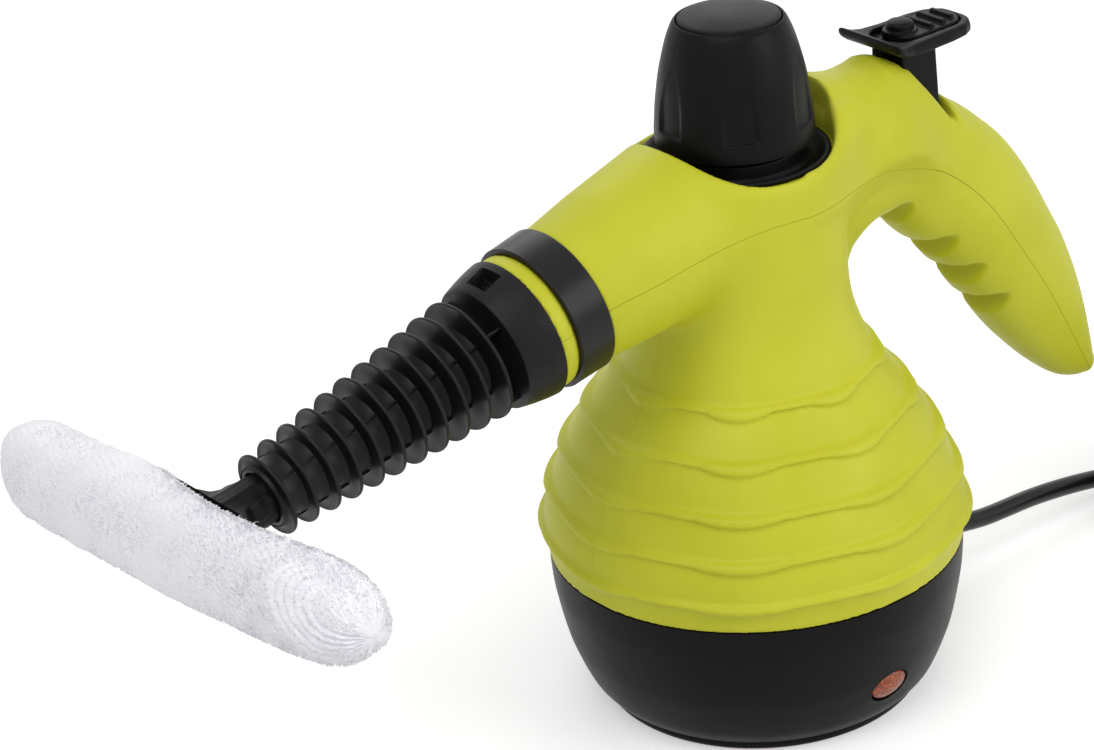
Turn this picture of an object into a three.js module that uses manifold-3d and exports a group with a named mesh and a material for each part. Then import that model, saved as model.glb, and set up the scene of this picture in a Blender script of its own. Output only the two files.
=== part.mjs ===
// Hand-held steam cleaner with a ribbed housing, a screw cap, a finned extension and a cloth head.
// Millimetres, +Z up. The origin is on the floor under the boiler's axis; +X points to the nozzle.
import * as THREE from 'three';
import { mergeVertices } from 'three/addons/utils/BufferGeometryUtils.js';
import Module from 'manifold-3d';

const wasm = await Module();
wasm.setup();
const { PI, abs, cos, sin, sign, hypot, round } = Math;
const degree = PI / 180;

// Driving dimensions
const bodyRadius = 70; // crest of the widest rib
const neckRadius = 33.3;
const shoulderHeight = 187; // floor of the well round the filler
const baseHeight = 52; // top of the black bowl
const handleReach = 154; // from the boiler's axis back to the tip's end
const nozzlePitch = 12 * degree;
const nozzleDrop = 27; // from the shoulder down to the nozzle's axis at the clamp ring
const nozzleStart = { x: 72, z: shoulderHeight - nozzleDrop }; // at the clamp ring's rear edge
const extensionLength = 98;
const headWidth = 164; // cloth head, end to end
const cordRadius = 3.2;
const gap = 0.3; // between pieces that touch
const wall = 2.5;
const overrun = 6; // every cut runs this far past what it cuts
const weld = 0.0001;

// Side counts
const bodySides = 32;
const bigSides = 24;
const midSides = 18;
const smallSides = 12;
const tinySides = 8;
const pipeSides = 6;
const wireSides = 4;

// Looks
const looks = {
  lime: [0xc9ca44, 0.42, 0],
  satinBlack: [0x1b1b1d, 0.45, 0],
  glossBlack: [0x0b0b0c, 0.2, 0],
  rubber: [0x202022, 0.8, 0],
  cord: [0x121213, 0.5, 0],
  aluminium: [0xb9bcc0, 0.4, 0.9],
  steel: [0xc4c6c9, 0.3, 1],
  brass: [0xc7a24c, 0.35, 1],
  amber: [0xd9641c, 0.25, 0],
  cloth: [0xf2f2f4, 0.95, 0],
  nylon: [0xe6e3da, 0.6, 0],
  brown: [0x5b3420, 0.6, 0],
  blue: [0x2a4f93, 0.6, 0],
};

const part = new THREE.Group();

// Geometry helpers
function signedVolume(position, index) {
  const [a, b, c] = [new THREE.Vector3(), new THREE.Vector3(), new THREE.Vector3()];
  let total = 0;
  for (let i = 0; i < index.length; i += 3) {
    a.fromBufferAttribute(position, index[i]);
    b.fromBufferAttribute(position, index[i + 1]);
    c.fromBufferAttribute(position, index[i + 2]);
    total += a.dot(b.cross(c));
  }
  return total;
}

// Welds a geometry, drops its empty triangles and turns its faces outward
function closed(geometry) {
  const bare = new THREE.BufferGeometry();
  bare.setAttribute('position', geometry.getAttribute('position').clone());
  if (geometry.index) bare.setIndex(geometry.index.clone());
  const welded = mergeVertices(bare, weld);
  const source = welded.index.array;
  const kept = [];
  for (let i = 0; i < source.length; i += 3) {
    const [a, b, c] = [source[i], source[i + 1], source[i + 2]];
    if (a !== b && b !== c && c !== a) kept.push(a, b, c);
  }
  if (signedVolume(welded.getAttribute('position'), kept) < 0) kept.reverse();
  welded.setIndex(kept);
  return welded;
}

function toSolid(geometry) {
  const shape = closed(geometry);
  return new wasm.Manifold(new wasm.Mesh({
    numProp: 3,
    vertProperties: new Float32Array(shape.getAttribute('position').array),
    triVerts: new Uint32Array(shape.index.array),
  }));
}

function toGeometry(solid) {
  const mesh = solid.getMesh();
  const geometry = new THREE.BufferGeometry();
  geometry.setAttribute('position', new THREE.BufferAttribute(mesh.vertProperties, 3));
  geometry.setIndex(new THREE.BufferAttribute(mesh.triVerts, 1));
  return geometry;
}

const join = (...solids) => solids.reduce((sum, solid) => sum.add(solid));
const cut = (solid, ...tools) => tools.reduce((rest, tool) => rest.subtract(tool), solid);

// Solid of revolution about Z from [radius, height] pairs
function spin(profile, sides = bigSides) {
  const points = profile.map(([radius, height]) => new THREE.Vector2(radius, height));
  const ends = [points[0], points[points.length - 1]];
  if (ends.some((point) => point.x > 0)) points.push(points[0].clone());
  return toSolid(new THREE.LatheGeometry(points, sides).rotateX(PI / 2));
}

const tube = (inner, outer, low, high, sides) => spin(
  [[inner, low], [outer, low], [outer, high], [inner, high]], sides);
const disc = (radius, low, high, sides) => spin([[0, low], [radius, low], [radius, high], [0, high]], sides);
const moved = (solid, x, y, z = 0) => solid.translate([x, y, z]);

function block([x0, x1], [y0, y1], [z0, z1]) {
  const box = new THREE.BoxGeometry(x1 - x0, y1 - y0, z1 - z0);
  return toSolid(box.translate((x0 + x1) / 2, (y0 + y1) / 2, (z0 + z1) / 2));
}

// Prism of an outline in the XZ plane, from y0 to y1
function slab(outline, y0, y1) {
  const shape = new THREE.Shape(outline.map(([x, z]) => new THREE.Vector2(x, z)));
  const prism = new THREE.ExtrudeGeometry(shape, { depth: y1 - y0, bevelEnabled: false });
  return toSolid(prism.rotateX(PI / 2).translate(0, y1, 0));
}

// Prism of an outline in the XY plane, from z0 to z1
function plate(outline, z0, z1) {
  const shape = new THREE.Shape(outline.map(([x, y]) => new THREE.Vector2(x, y)));
  const prism = new THREE.ExtrudeGeometry(shape, { depth: z1 - z0, bevelEnabled: false });
  return toSolid(prism.translate(0, 0, z0));
}

// Closed skin through rings of equally many points, with a fan at each end
function loft(rings) {
  const count = rings[0].length;
  const positions = rings.flat().flatMap((point) => point.toArray());
  const index = [];
  for (let k = 0; k + 1 < rings.length; k += 1) {
    for (let i = 0; i < count; i += 1) {
      const [a, b] = [k * count + i, k * count + (i + 1) % count];
      index.push(a, b, b + count, a, b + count, a + count);
    }
  }
  [0, rings.length - 1].forEach((k) => {
    const centre = new THREE.Vector3();
    rings[k].forEach((point) => centre.addScaledVector(point, 1 / count));
    positions.push(...centre.toArray());
    const hub = positions.length / 3 - 1;
    for (let i = 0; i < count; i += 1) {
      const [a, b] = [k * count + i, k * count + (i + 1) % count];
      index.push(hub, ...(k ? [a, b] : [b, a]));
    }
  });
  const geometry = new THREE.BufferGeometry();
  geometry.setAttribute('position', new THREE.Float32BufferAttribute(positions, 3));
  geometry.setIndex(index);
  return geometry;
}

// Round section swept along a smooth curve through the points
function pipe(points, radius, steps, sides = pipeSides) {
  const curve = new THREE.CatmullRomCurve3(points.map((point) => new THREE.Vector3(...point)), false, 'centripetal');
  const ring = Array.from({ length: sides }, (_, i) => {
    const turn = 2 * PI * (i + 0.5) / sides;
    return new THREE.Vector2(radius * cos(turn), radius * sin(turn));
  });
  return new THREE.ExtrudeGeometry(new THREE.Shape(ring), { steps, bevelEnabled: false, extrudePath: curve });
}

// Coil spring standing on the XY plane, as one unbroken wire
function spring(coilRadius, wireRadius, height, turns) {
  const [steps, sides] = [pipeSides * turns, wireSides];
  const rings = Array.from({ length: steps + 1 }, (_, k) => {
    const turn = 2 * PI * turns * k / steps;
    const rise = wireRadius + (height - 2 * wireRadius) * k / steps;
    return Array.from({ length: sides }, (_, i) => {
      const around = 2 * PI * i / sides;
      const radius = coilRadius + wireRadius * cos(around);
      return new THREE.Vector3(radius * cos(turn), radius * sin(turn), rise + wireRadius * sin(around));
    });
  });
  return loft(rings);
}

function stadium(x0, x1, halfWidth, steps = 8) {
  const points = [];
  for (let i = 0; i <= steps; i += 1) {
    const turn = -PI / 2 + PI * i / steps;
    points.push([x1 - halfWidth + halfWidth * cos(turn), halfWidth * sin(turn)]);
  }
  for (let i = 0; i <= steps; i += 1) {
    const turn = PI / 2 + PI * i / steps;
    points.push([x0 + halfWidth + halfWidth * cos(turn), halfWidth * sin(turn)]);
  }
  return points;
}

function add(name, shape, look, parent = part) {
  const [color, roughness, metalness] = looks[look];
  const geometry = shape.getMesh ? toGeometry(shape) : closed(shape);
  const mesh = new THREE.Mesh(geometry, new THREE.MeshStandardMaterial({ color, roughness, metalness }));
  mesh.name = name;
  parent.add(mesh);
  return mesh;
}

const polar = (radius, turn) => [radius * cos(turn), radius * sin(turn)];

// Nozzle frame: local +Z runs out along the nozzle's axis, local -X is up, local Y is Y
const nozzle = new THREE.Group();
nozzle.position.set(nozzleStart.x, 0, nozzleStart.z);
nozzle.rotation.y = PI / 2 + nozzlePitch;
nozzle.updateMatrix();
part.add(nozzle);
const onNozzle = (solid) => toSolid(toGeometry(solid).applyMatrix4(nozzle.matrix));
const nozzlePoint = (along, up = 0) => [
  nozzleStart.x + along * cos(nozzlePitch) + up * sin(nozzlePitch),
  0,
  nozzleStart.z - along * sin(nozzlePitch) + up * cos(nozzlePitch),
];

// Body of the housing: five wavy ribs round a pear shape
const rib = { rise: 1.7, halfWidth: 2.3, wave: 2, waves: 8 };
const ribCrestShares = [[1, 0.138], [0.954, 0.332], [0.876, 0.527], [0.753, 0.723], [0.607, 0.917]]
  .map(([radius, height]) => [radius * bodyRadius, baseHeight + height * bodyRadius]);
const neckFlareShares = [[1.18, 2.058], [1.08, 2.238], [1.015, 2.488], [1, 2.788]]
  .map(([radius, height]) => [radius * neckRadius, baseHeight + height * neckRadius]);
const skirtRadius = bodyRadius * 0.962;
const shoulder = { round: 9, step: 4.2, drop: 1 };

function bodyRing(radius, height, wave) {
  return Array.from({ length: bodySides }, (_, i) => {
    const turn = 2 * PI * i / bodySides;
    return new THREE.Vector3(...polar(radius, turn), height - wave * cos(rib.waves * turn));
  });
}

function bodySolid() {
  const rings = [bodyRing(skirtRadius, baseHeight + gap, 0)];
  ribCrestShares.forEach(([radius, height], row) => {
    const lean = row ? (ribCrestShares[row - 1][0] - radius) / (height - ribCrestShares[row - 1][1]) : 0.2;
    const foot = radius - rib.rise;
    rings.push(bodyRing(foot + lean * rib.halfWidth, height - rib.halfWidth, rib.wave));
    rings.push(bodyRing(radius, height, rib.wave));
    rings.push(bodyRing(foot - lean * rib.halfWidth, height + rib.halfWidth, rib.wave));
  });
  neckFlareShares.forEach(([radius, height]) => {
    rings.push(bodyRing(radius, height, 0));
  });
  rings.push(bodyRing(neckRadius, shoulderHeight - shoulder.round, 0));
  rings.push(bodyRing(neckRadius - shoulder.drop, shoulderHeight - shoulder.step, 0));
  rings.push(bodyRing(neckRadius - shoulder.step, shoulderHeight, 0));
  return toSolid(loft(rings));
}

function bodyHollow() {
  const skin = wall + rib.rise;
  const side = ribCrestShares.filter((_, i) => i % 2 === 0).map(([radius, height]) => [radius - skin, height]);
  const flare = neckFlareShares.filter((_, i) => i !== 2)
    .map(([radius, height]) => [radius - wall, height]);
  return spin([
    [0, baseHeight - overrun], [skirtRadius - wall, baseHeight - overrun], [skirtRadius - wall, baseHeight],
    ...side, ...flare,
    [neckRadius - wall, shoulderHeight - shoulder.round], [neckRadius - wall - shoulder.step, shoulderHeight - wall],
    [0, shoulderHeight - wall],
  ], bigSides);
}

// Nozzle stub of the housing, in the nozzle frame
const stub = {
  rear: 75, rearRadius: 27.5, wellRadius: 26.8, wellAt: 41, ringRadius: 22.9, seatRadius: 21.6,
  bandRadius: 22.3, seatLength: 12.7, length: 18, lip: 2, mouth: 17.4,
};

function stubSolid() {
  return onNozzle(spin([
    [0, -stub.rear], [stub.rearRadius, -stub.rear], [stub.wellRadius, -stub.wellAt],
    [stub.ringRadius, -gap], [stub.seatRadius, -gap], [stub.seatRadius, stub.seatLength + gap],
    [stub.bandRadius, stub.seatLength + gap], [stub.bandRadius, stub.length], [0, stub.length],
  ], bigSides));
}

function stubHollow() {
  const bore = stub.seatRadius - wall;
  return onNozzle(spin([
    [0, -stub.rear], [stub.rearRadius - wall, -stub.rear], [stub.wellRadius - wall, -stub.wellAt],
    [stub.ringRadius - wall, -stub.lip], [bore, -stub.lip / 2], [bore, stub.length - stub.lip],
    [stub.mouth, stub.length - stub.lip], [stub.mouth, stub.length + overrun], [0, stub.length + overrun],
  ], midSides));
}

// Handle: sections between a top point and an underside point
// Each row is top x, top z, underside x, underside z and half width; z follows the shoulder's height
const handleStationShares = [
  [-0.078, 1.0772, -0.078, 0.7058, 0.091], [-0.208, 1.0747, -0.221, 0.7008, 0.088],
  [-0.273, 1.0681, -0.269, 0.7461, 0.09], [-0.338, 1.0525, -0.318, 0.77, 0.094],
  [-0.403, 1.0286, -0.373, 0.7766, 0.097], [-0.461, 1.0022, -0.406, 0.7412, 0.101],
  [-0.523, 0.9718, -0.456, 0.7156, 0.105], [-0.575, 0.9462, -0.486, 0.6769, 0.107],
  [-0.688, 0.8713, -0.558, 0.6061, 0.11], [-0.74, 0.8244, -0.604, 0.5724, 0.11],
  [-0.808, 0.7412, -0.669, 0.4949, 0.108], [-0.919, 0.5666, -0.799, 0.3747, 0.09],
  [-0.955, 0.4809, -0.864, 0.3335, 0.075], [-0.984, 0.3961, -0.929, 0.3031, 0.052],
  [-0.999, 0.3475, -0.968, 0.3014, 0.026],
];
const handleSides = 12;
const handleSquareness = 0.87;

function handleRing([topX, topZ, lowX, lowZ, half], inset, sides) {
  const top = new THREE.Vector3(topX * handleReach, 0, topZ * shoulderHeight);
  const low = new THREE.Vector3(lowX * handleReach, 0, lowZ * shoulderHeight);
  const centre = top.clone().add(low).divideScalar(2);
  const depth = top.distanceTo(low) / 2 - inset;
  const across = top.clone().sub(low).normalize();
  const width = half * handleReach - inset;
  const bulge = (value) => sign(value) * abs(value) ** handleSquareness;
  return Array.from({ length: sides }, (_, i) => {
    const turn = 2 * PI * i / sides;
    const point = centre.clone().addScaledVector(across, depth * bulge(cos(turn)));
    return point.setY(width * bulge(sin(turn)));
  });
}

const handleSolid = () => toSolid(loft(handleStationShares.map((row) => handleRing(row, 0, handleSides))));
const handleHollow = () => toSolid(loft(handleStationShares.slice(0, -3)
  .map((row) => handleRing(row, wall, tinySides))));

// Raised rim round the trigger's slot
const rim = { halfWidth: 11, slotHalfWidth: 7.8, slotAhead: 7.8, slotBehind: 10.4, depth: 12 };
const rimTopShares = [
  [-0.325, 1.0335], [-0.34, 1.0582], [-0.365, 1.0624], [-0.42, 1.0401], [-0.468, 1.0129], [-0.52, 0.9767],
  [-0.56, 0.9512],
];

function rimSolid() {
  const top = rimTopShares.map(([x, z]) => [x * handleReach, z * shoulderHeight]);
  const under = top.map(([x, z]) => [x, z - rim.depth]).reverse();
  return slab([...top, ...under], -rim.halfWidth, rim.halfWidth);
}

// Well round the filler and the hole for the funnel
const well = { radius: 32.5, guard: 2.4 };
const funnel = { radius: 28.3, rimDrop: 3.6, lip: 2.3 };
funnel.rimTop = shoulderHeight;
funnel.rimLow = shoulderHeight - funnel.rimDrop;
const valve = {
  behindShare: 0.4675, radius: 8, bore: 4.7, dropShare: 0.23636, floorWall: 1.8, chamber: 14, roofWall: 2.4, pinRadius: 2,
  discRadius: 4.3, disc: 2, springRoom: 6.4, seat: 1.2, inletRise: 5.9, outletDrop: 2.2, outletTurn: 35 * degree,
  portRadius: 3, portLength: 2,
};
valve.x = -valve.behindShare * handleReach;
valve.low = shoulderHeight * (1 - valve.dropShare);
valve.floor = valve.low + valve.floorWall;
valve.roof = valve.floor + valve.chamber;
valve.high = valve.roof + valve.roofWall;
valve.discLow = valve.floor + valve.springRoom;
valve.discHigh = valve.discLow + valve.disc;
valve.inletZ = valve.floor + valve.inletRise;
valve.outletZ = valve.roof - valve.outletDrop;
const trigger = { travel: 3.5, springRoom: 7.2, footHeight: 2.4 };
trigger.footZ = valve.high + trigger.springRoom;

// Parting line between the top cover and the lower halves, as shares of the reach and the shoulder's height
const seamShares = [
  [0.72, 0.8112], [0.468, 0.8713], [0.37, 0.8878], [0.26, 0.9034], [0.162, 0.9141], [0.078, 0.9306], [0.02, 0.9369],
  [-0.097, 0.9438], [-0.195, 0.9405], [-0.273, 0.9265], [-0.338, 0.9067], [-0.403, 0.8795], [-0.487, 0.8392],
  [-0.597, 0.7675], [-0.695, 0.6629], [-0.786, 0.5509], [-0.864, 0.4488], [-0.929, 0.3747], [-0.987, 0.3179],
  [-1.08, 0.2471],
];

function seamSide(offset) {
  const line = seamShares.map(([x, z]) => new THREE.Vector2(x * handleReach, z * shoulderHeight));
  return line.map((point, i) => {
    const run = line[Math.min(i + 1, line.length - 1)].clone().sub(line[Math.max(i - 1, 0)]).normalize();
    return [point.x + run.y * offset, point.y - run.x * offset];
  });
}

function makeHousing() {
  const far = 2 * handleReach;
  const wellCut = disc(well.radius, shoulderHeight, far, bigSides);
  const funnelCut = disc(funnel.radius + gap, shoulderHeight - wall - overrun, shoulderHeight + overrun, bigSides);
  const guard = disc(well.radius + well.guard, shoulderHeight - wall, far, bigSides);
  const hollow = cut(join(bodyHollow(), stubHollow(), handleHollow()), guard);
  const outer = cut(join(bodySolid(), stubSolid(), handleSolid(), rimSolid()), wellCut);
  const saddle = valve.radius + 1.5 * wall;
  const pedestal = block([valve.x - saddle, valve.x + saddle], [-saddle, saddle], [valve.low / 2, valve.low - gap])
    .intersect(hollow);
  const slot = block([valve.x - rim.slotBehind, valve.x + rim.slotAhead], [-rim.slotHalfWidth, rim.slotHalfWidth],
    [trigger.footZ, far]);
  const shell = cut(join(cut(outer, hollow), pedestal), funnelCut, slot);
  const above = seamSide(gap / 2);
  const below = seamSide(-gap / 2);
  const topRegion = slab([...above, [-far, far], [far, far]], -far, far);
  const lowRegion = slab([...below, [-far, -far], [far, -far]], -far, far);
  const lower = shell.intersect(lowRegion);
  const leftRegion = block([-far, far], [gap / 2, far], [-far, far]);
  const rightRegion = block([-far, far], [-far, -gap / 2], [-far, far]);
  add('top_cover', shell.intersect(topRegion), 'lime');
  add('lower_housing_left', lower.intersect(leftRegion), 'lime');
  add('lower_housing_right', lower.intersect(rightRegion), 'lime');
}
makeHousing();

// Clamp ring over the three housing pieces
const clampRing = { rearRadius: 24.2, frontRadius: 23.5, length: 12.6, edge: 0.8 };
add('nozzle_clamp_ring', spin([
  [stub.seatRadius + gap, 0], [clampRing.rearRadius - clampRing.edge, 0], [clampRing.rearRadius, clampRing.edge],
  [clampRing.frontRadius, clampRing.length - clampRing.edge],
  [clampRing.frontRadius - clampRing.edge, clampRing.length], [stub.seatRadius + gap, clampRing.length],
], bigSides), 'glossBlack', nozzle);

// Base: bowl, bottom plate and screws
const bowlShares = [[0.75, 0.078], [0.783, 0.1], [0.817, 0.163], [0.865, 0.3], [0.905, 0.46], [0.937, 0.66],
  [0.954, 0.84], [0.96, 1]]
  .map(([radius, height]) => [radius * bodyRadius, height * baseHeight]);
const bowl = { wall: 2.4, tongue: 4.5, tongueWall: 2.1, floor: 4.05 };
const post = { circle: 44, radius: 4.4, bore: 2, top: 18, legRadius: 4, count: 3 };
const plateDims = { radius: 50, lip: 52.3, height: 3.7, edge: 1.5, floor: 2.6, rimInner: 46.2, boss: 5.4 };
const screw = { headRadius: 3.3, headDeep: 0.5, headHeight: 1.9, shank: 1.6, tip: 15 };
const lamp = { z: 19, halfWidth: 7, halfHeight: 5, tilt: 17 * degree, depth: 6, flange: 1.1, proud: 0.7, seatGap: 2.4 };
const relief = { z: 18.3, bore: 3.55, body: 6.4, flangeRadius: 7.8, flange: 2.2, collar: 8.4, end: 87, endRadius: 4.7 };
const postPlaces = Array.from({ length: post.count }, (_, i) => polar(post.circle, 2 * PI * i / post.count));

const bowlRadiusAt = (z) => {
  const next = bowlShares.findIndex(([, height]) => height >= z);
  const [[r0, z0], [r1, z1]] = [bowlShares[next - 1], bowlShares[next]];
  return r0 + (r1 - r0) * (z - z0) / (z1 - z0);
};

// Oval boss of the lamp, looking out along +Y and tilted to the bowl's wall
function lampOval(grow, from, to) {
  const [wide, high] = [lamp.halfWidth + grow, lamp.halfHeight + grow];
  const outline = Array.from({ length: smallSides }, (_, i) => {
    const turn = 2 * PI * i / smallSides;
    return [wide * cos(turn), high * sin(turn)];
  });
  const prism = toGeometry(slab(outline, from, to)).rotateX(-lamp.tilt);
  return toSolid(prism.translate(0, bowlRadiusAt(lamp.z), lamp.z));
}

function makeBowl() {
  const outer = bowlShares.map(([radius, height]) => [radius, height]);
  const inner = bowlShares.filter((_, i) => i % 3 === 0).map(([radius, height]) => [radius - bowl.wall, height])
    .reverse();
  const tongueOuter = skirtRadius - wall - 2 * gap;
  const skin = spin([
    ...outer, [tongueOuter, baseHeight], [tongueOuter, baseHeight + bowl.tongue],
    [tongueOuter - bowl.tongueWall, baseHeight + bowl.tongue], [tongueOuter - bowl.tongueWall, baseHeight - bowl.wall],
    ...inner.slice(1),
  ]);
  const reach = spin([[0, bowl.floor], ...bowlShares.map(([radius, height]) => [radius - gap, height]),
    [0, baseHeight]]);
  const posts = postPlaces.map(([x, y], i) => {
    const web = block([post.circle, bodyRadius], [-bowl.wall / 2, bowl.wall / 2], [bowl.floor, post.top - bowl.wall])
      .rotate([0, 0, 360 * i / post.count]);
    return join(moved(disc(post.radius, bowl.floor, post.top, tinySides), x, y), web).intersect(reach);
  });
  const bores = postPlaces.map(([x, y]) => moved(disc(post.bore, 0, screw.tip + gap, tinySides), x, y));
  const cordHole = toSolid(toGeometry(disc(relief.body + gap, -bodyRadius, -bodyRadius / 2, smallSides))
    .rotateY(PI / 2).translate(0, 0, relief.z));
  const lampHole = lampOval(gap, -lamp.depth * 2, lamp.depth);
  add('base_shell', cut(join(skin, ...posts), ...bores, cordHole, lampHole), 'satinBlack');
}
makeBowl();

function makeBottom() {
  const body = spin([
    [0, 0], [plateDims.radius, 0], [plateDims.lip, plateDims.edge], [plateDims.lip, plateDims.height],
    [plateDims.rimInner, plateDims.height], [plateDims.rimInner, plateDims.floor], [0, plateDims.floor],
  ], midSides);
  const bosses = postPlaces.map(([x, y]) => moved(disc(plateDims.boss, 0, plateDims.height, tinySides), x, y));
  const holes = postPlaces.flatMap(([x, y]) => [
    moved(disc(post.bore, -overrun, overrun, tinySides), x, y),
    moved(disc(screw.headRadius + gap, -overrun, screw.headDeep + screw.headHeight, tinySides), x, y),
  ]);
  add('base_plate', cut(join(body, ...bosses), ...holes), 'satinBlack');
  postPlaces.forEach(([x, y], i) => {
    const headTop = screw.headDeep + screw.headHeight - gap;
    const solid = spin([
      [0, screw.headDeep], [screw.headRadius, screw.headDeep], [screw.headRadius, headTop],
      [screw.shank, headTop], [screw.shank, screw.tip - screw.shank], [0, screw.tip],
    ], tinySides);
    add(`base_screw_${i + 1}`, moved(solid, x, y), 'steel');
  });
}
makeBottom();

// Pilot lamp: oval lens with a pocket for the neon bulb
const neon = { radius: 2.6, length: 11, pocket: 3 };
const lens = cut(
  join(lampOval(0, -lamp.depth, lamp.proud), lampOval(lamp.flange, -lamp.depth, -bowl.wall - lamp.seatGap)),
  toSolid(toGeometry(slab(stadium(-neon.radius - gap, neon.radius + gap, neon.radius + gap), -2 * lamp.depth,
    -lamp.depth + neon.pocket)).rotateX(-lamp.tilt).translate(0, bowlRadiusAt(lamp.z), lamp.z)));
add('lamp_lens', lens, 'amber');
const bulb = toGeometry(disc(neon.radius, -neon.length, 0, tinySides)).rotateX(-PI / 2)
  .translate(0, -lamp.depth + neon.pocket - gap, 0).rotateX(-lamp.tilt).translate(0, bowlRadiusAt(lamp.z), lamp.z);
add('lamp_bulb', toSolid(bulb), 'nylon');

// Boiler: two flanged halves, gasket and four bolts
const boiler = {
  radius: 43, wall: 3.2, floor: 26, flange: 52, flangeHeight: 4, join: 76, boltCircle: 47.8, boltRadius: 1.8,
  boltHead: 3.4, boltHeight: 2.6, gasket: 1.2, portX: -24.5, portRadius: 4, portTop: 110, bossRadius: 17.8,
  bossTop: 122, ledge: 108,
};
const filler = { radius: 14.4, bore: 12, flange: 22, flangeDrop: 9.4, flangeThick: 2.4, seatRadius: 17, drop: 5.8 };
filler.flangeLow = shoulderHeight - filler.flangeDrop;
filler.flangeHigh = filler.flangeLow + filler.flangeThick;
filler.top = shoulderHeight - filler.drop;
const domeShares = [[1, 0], [0.97, 0.15], [0.8, 0.43], [0.47, 0.62]];
const upperLow = boiler.join + boiler.gasket + 2 * gap;
const upperTop = upperLow + boiler.flangeHeight;
const dome = domeShares.map(([radius, height]) => [radius * boiler.radius, upperTop + height * boiler.radius]);
const boltPlaces = [1, 3, 5, 7].map((eighth) => polar(boiler.boltCircle, PI * eighth / 4));
const boltHoles = boltPlaces.map(([x, y]) => moved(
  disc(boiler.boltRadius + gap, boiler.join / 2, 2 * boiler.join, pipeSides), x, y));
const innerRadius = boiler.radius - boiler.wall;

const legs = postPlaces.map(([x, y]) => moved(
  disc(post.legRadius, post.top + gap, boiler.floor + 4 * post.legRadius, tinySides), x, y));
const tankCut = disc(innerRadius, boiler.floor + boiler.wall, boiler.join + overrun, smallSides + wireSides);
add('boiler_lower', cut(join(spin([
  [0, boiler.floor], [boiler.radius, boiler.floor], [boiler.radius, boiler.join - boiler.flangeHeight],
  [boiler.flange, boiler.join - boiler.flangeHeight], [boiler.flange, boiler.join], [0, boiler.join],
], smallSides + wireSides), ...legs), tankCut, ...boltHoles), 'aluminium');
add('boiler_gasket', tube(innerRadius, boiler.boltCircle - boiler.boltRadius - 2 * gap, boiler.join + gap,
  boiler.join + gap + boiler.gasket, smallSides + wireSides), 'rubber');

const upperBody = join(
  spin([
    [0, upperLow], [boiler.flange, upperLow], [boiler.flange, upperTop], ...dome,
    [boiler.bossRadius, boiler.ledge + 1.5 * wall], [boiler.bossRadius, boiler.bossTop], [0, boiler.bossTop],
  ], smallSides + wireSides),
  moved(disc(boiler.portRadius, upperTop + boiler.portRadius * 3, boiler.portTop, tinySides), boiler.portX, 0));
const domeHollow = spin([
  [0, upperLow - overrun], [innerRadius, upperLow - overrun],
  ...dome.map(([radius, height]) => [radius - boiler.wall, height - boiler.wall / 2]),
  [0, dome[dome.length - 1][1] - boiler.wall / 2],
], smallSides + wireSides);
add('boiler_upper', cut(
  upperBody, domeHollow, disc(filler.bore, upperTop, boiler.bossTop + overrun, midSides),
  disc(filler.radius + gap, boiler.ledge, boiler.bossTop + overrun, midSides),
  moved(disc(cordRadius / 2, upperTop, boiler.portTop + overrun, tinySides), boiler.portX, 0),
  ...boltHoles), 'aluminium');
boltPlaces.forEach(([x, y], i) => {
  const [low, high] = [boiler.join - boiler.flangeHeight - gap, upperTop + gap];
  add(`boiler_bolt_${i + 1}`, moved(spin([
    [0, low - boiler.boltHeight], [boiler.boltHead, low - boiler.boltHeight], [boiler.boltHead, low],
    [boiler.boltRadius, low], [boiler.boltRadius, high], [boiler.boltHead, high],
    [boiler.boltHead, high + boiler.boltHeight], [0, high + boiler.boltHeight],
  ], pipeSides), x, y), 'steel');
});
add('filler_neck', spin([
  [filler.bore, boiler.ledge + gap], [filler.radius, boiler.ledge + gap], [filler.radius, filler.flangeLow],
  [filler.flange, filler.flangeLow], [filler.flange, filler.flangeHigh], [filler.seatRadius, filler.flangeHigh],
  [filler.seatRadius, filler.top], [filler.bore, filler.top],
], midSides), 'brass');
add('filler_funnel', spin([
  [filler.seatRadius + gap, filler.flangeHigh + gap], [filler.flange, filler.flangeHigh + gap],
  [funnel.radius, funnel.rimLow], [funnel.radius, funnel.rimTop - 2 * gap], [funnel.radius - 2 * gap, funnel.rimTop],
  [funnel.radius - funnel.lip, funnel.rimTop], [funnel.radius - funnel.lip - gap, funnel.rimTop - 3 * gap],
  [filler.flange, filler.flangeHigh + wall], [filler.seatRadius + gap, filler.flangeHigh + wall / 2],
], midSides), 'glossBlack');

// Heating: element ring, thermostat, fuse, terminal block and leads
const element = { circle: 24, radius: 3.5, sweep: 310, leadDrop: 8 };
const thermostat = { radius: 8, height: 8.5, tabs: 3 };
const fuse = { radius: 2, halfLength: 9, y: 14.5 };
const terminal = { x: [-38, -28.6], halfWidth: 10, top: 23.4 };
const elementZ = boiler.floor - gap - element.radius;
const elementPath = Array.from({ length: 13 }, (_, i) => {
  const turn = (-element.sweep / 2 + element.sweep * i / 12) * degree;
  return [...polar(element.circle, turn), elementZ];
});
add('heating_element', pipe(elementPath, element.radius, 16), 'steel');
add('thermostat', spin([
  [0, boiler.floor - gap - thermostat.height], [thermostat.tabs, boiler.floor - gap - thermostat.height],
  [thermostat.tabs * 2, boiler.floor - gap - thermostat.height * 0.7],
  [thermostat.radius, boiler.floor - gap - thermostat.height * 0.6], [thermostat.radius, boiler.floor - gap],
  [0, boiler.floor - gap],
], smallSides), 'aluminium');
add('thermal_fuse', toGeometry(disc(fuse.radius, -fuse.halfLength, fuse.halfLength, 8)).rotateY(PI / 2)
  .translate(0, fuse.y, boiler.floor - gap - fuse.radius), 'nylon');
const terminalFoot = plateDims.floor + gap;
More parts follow.
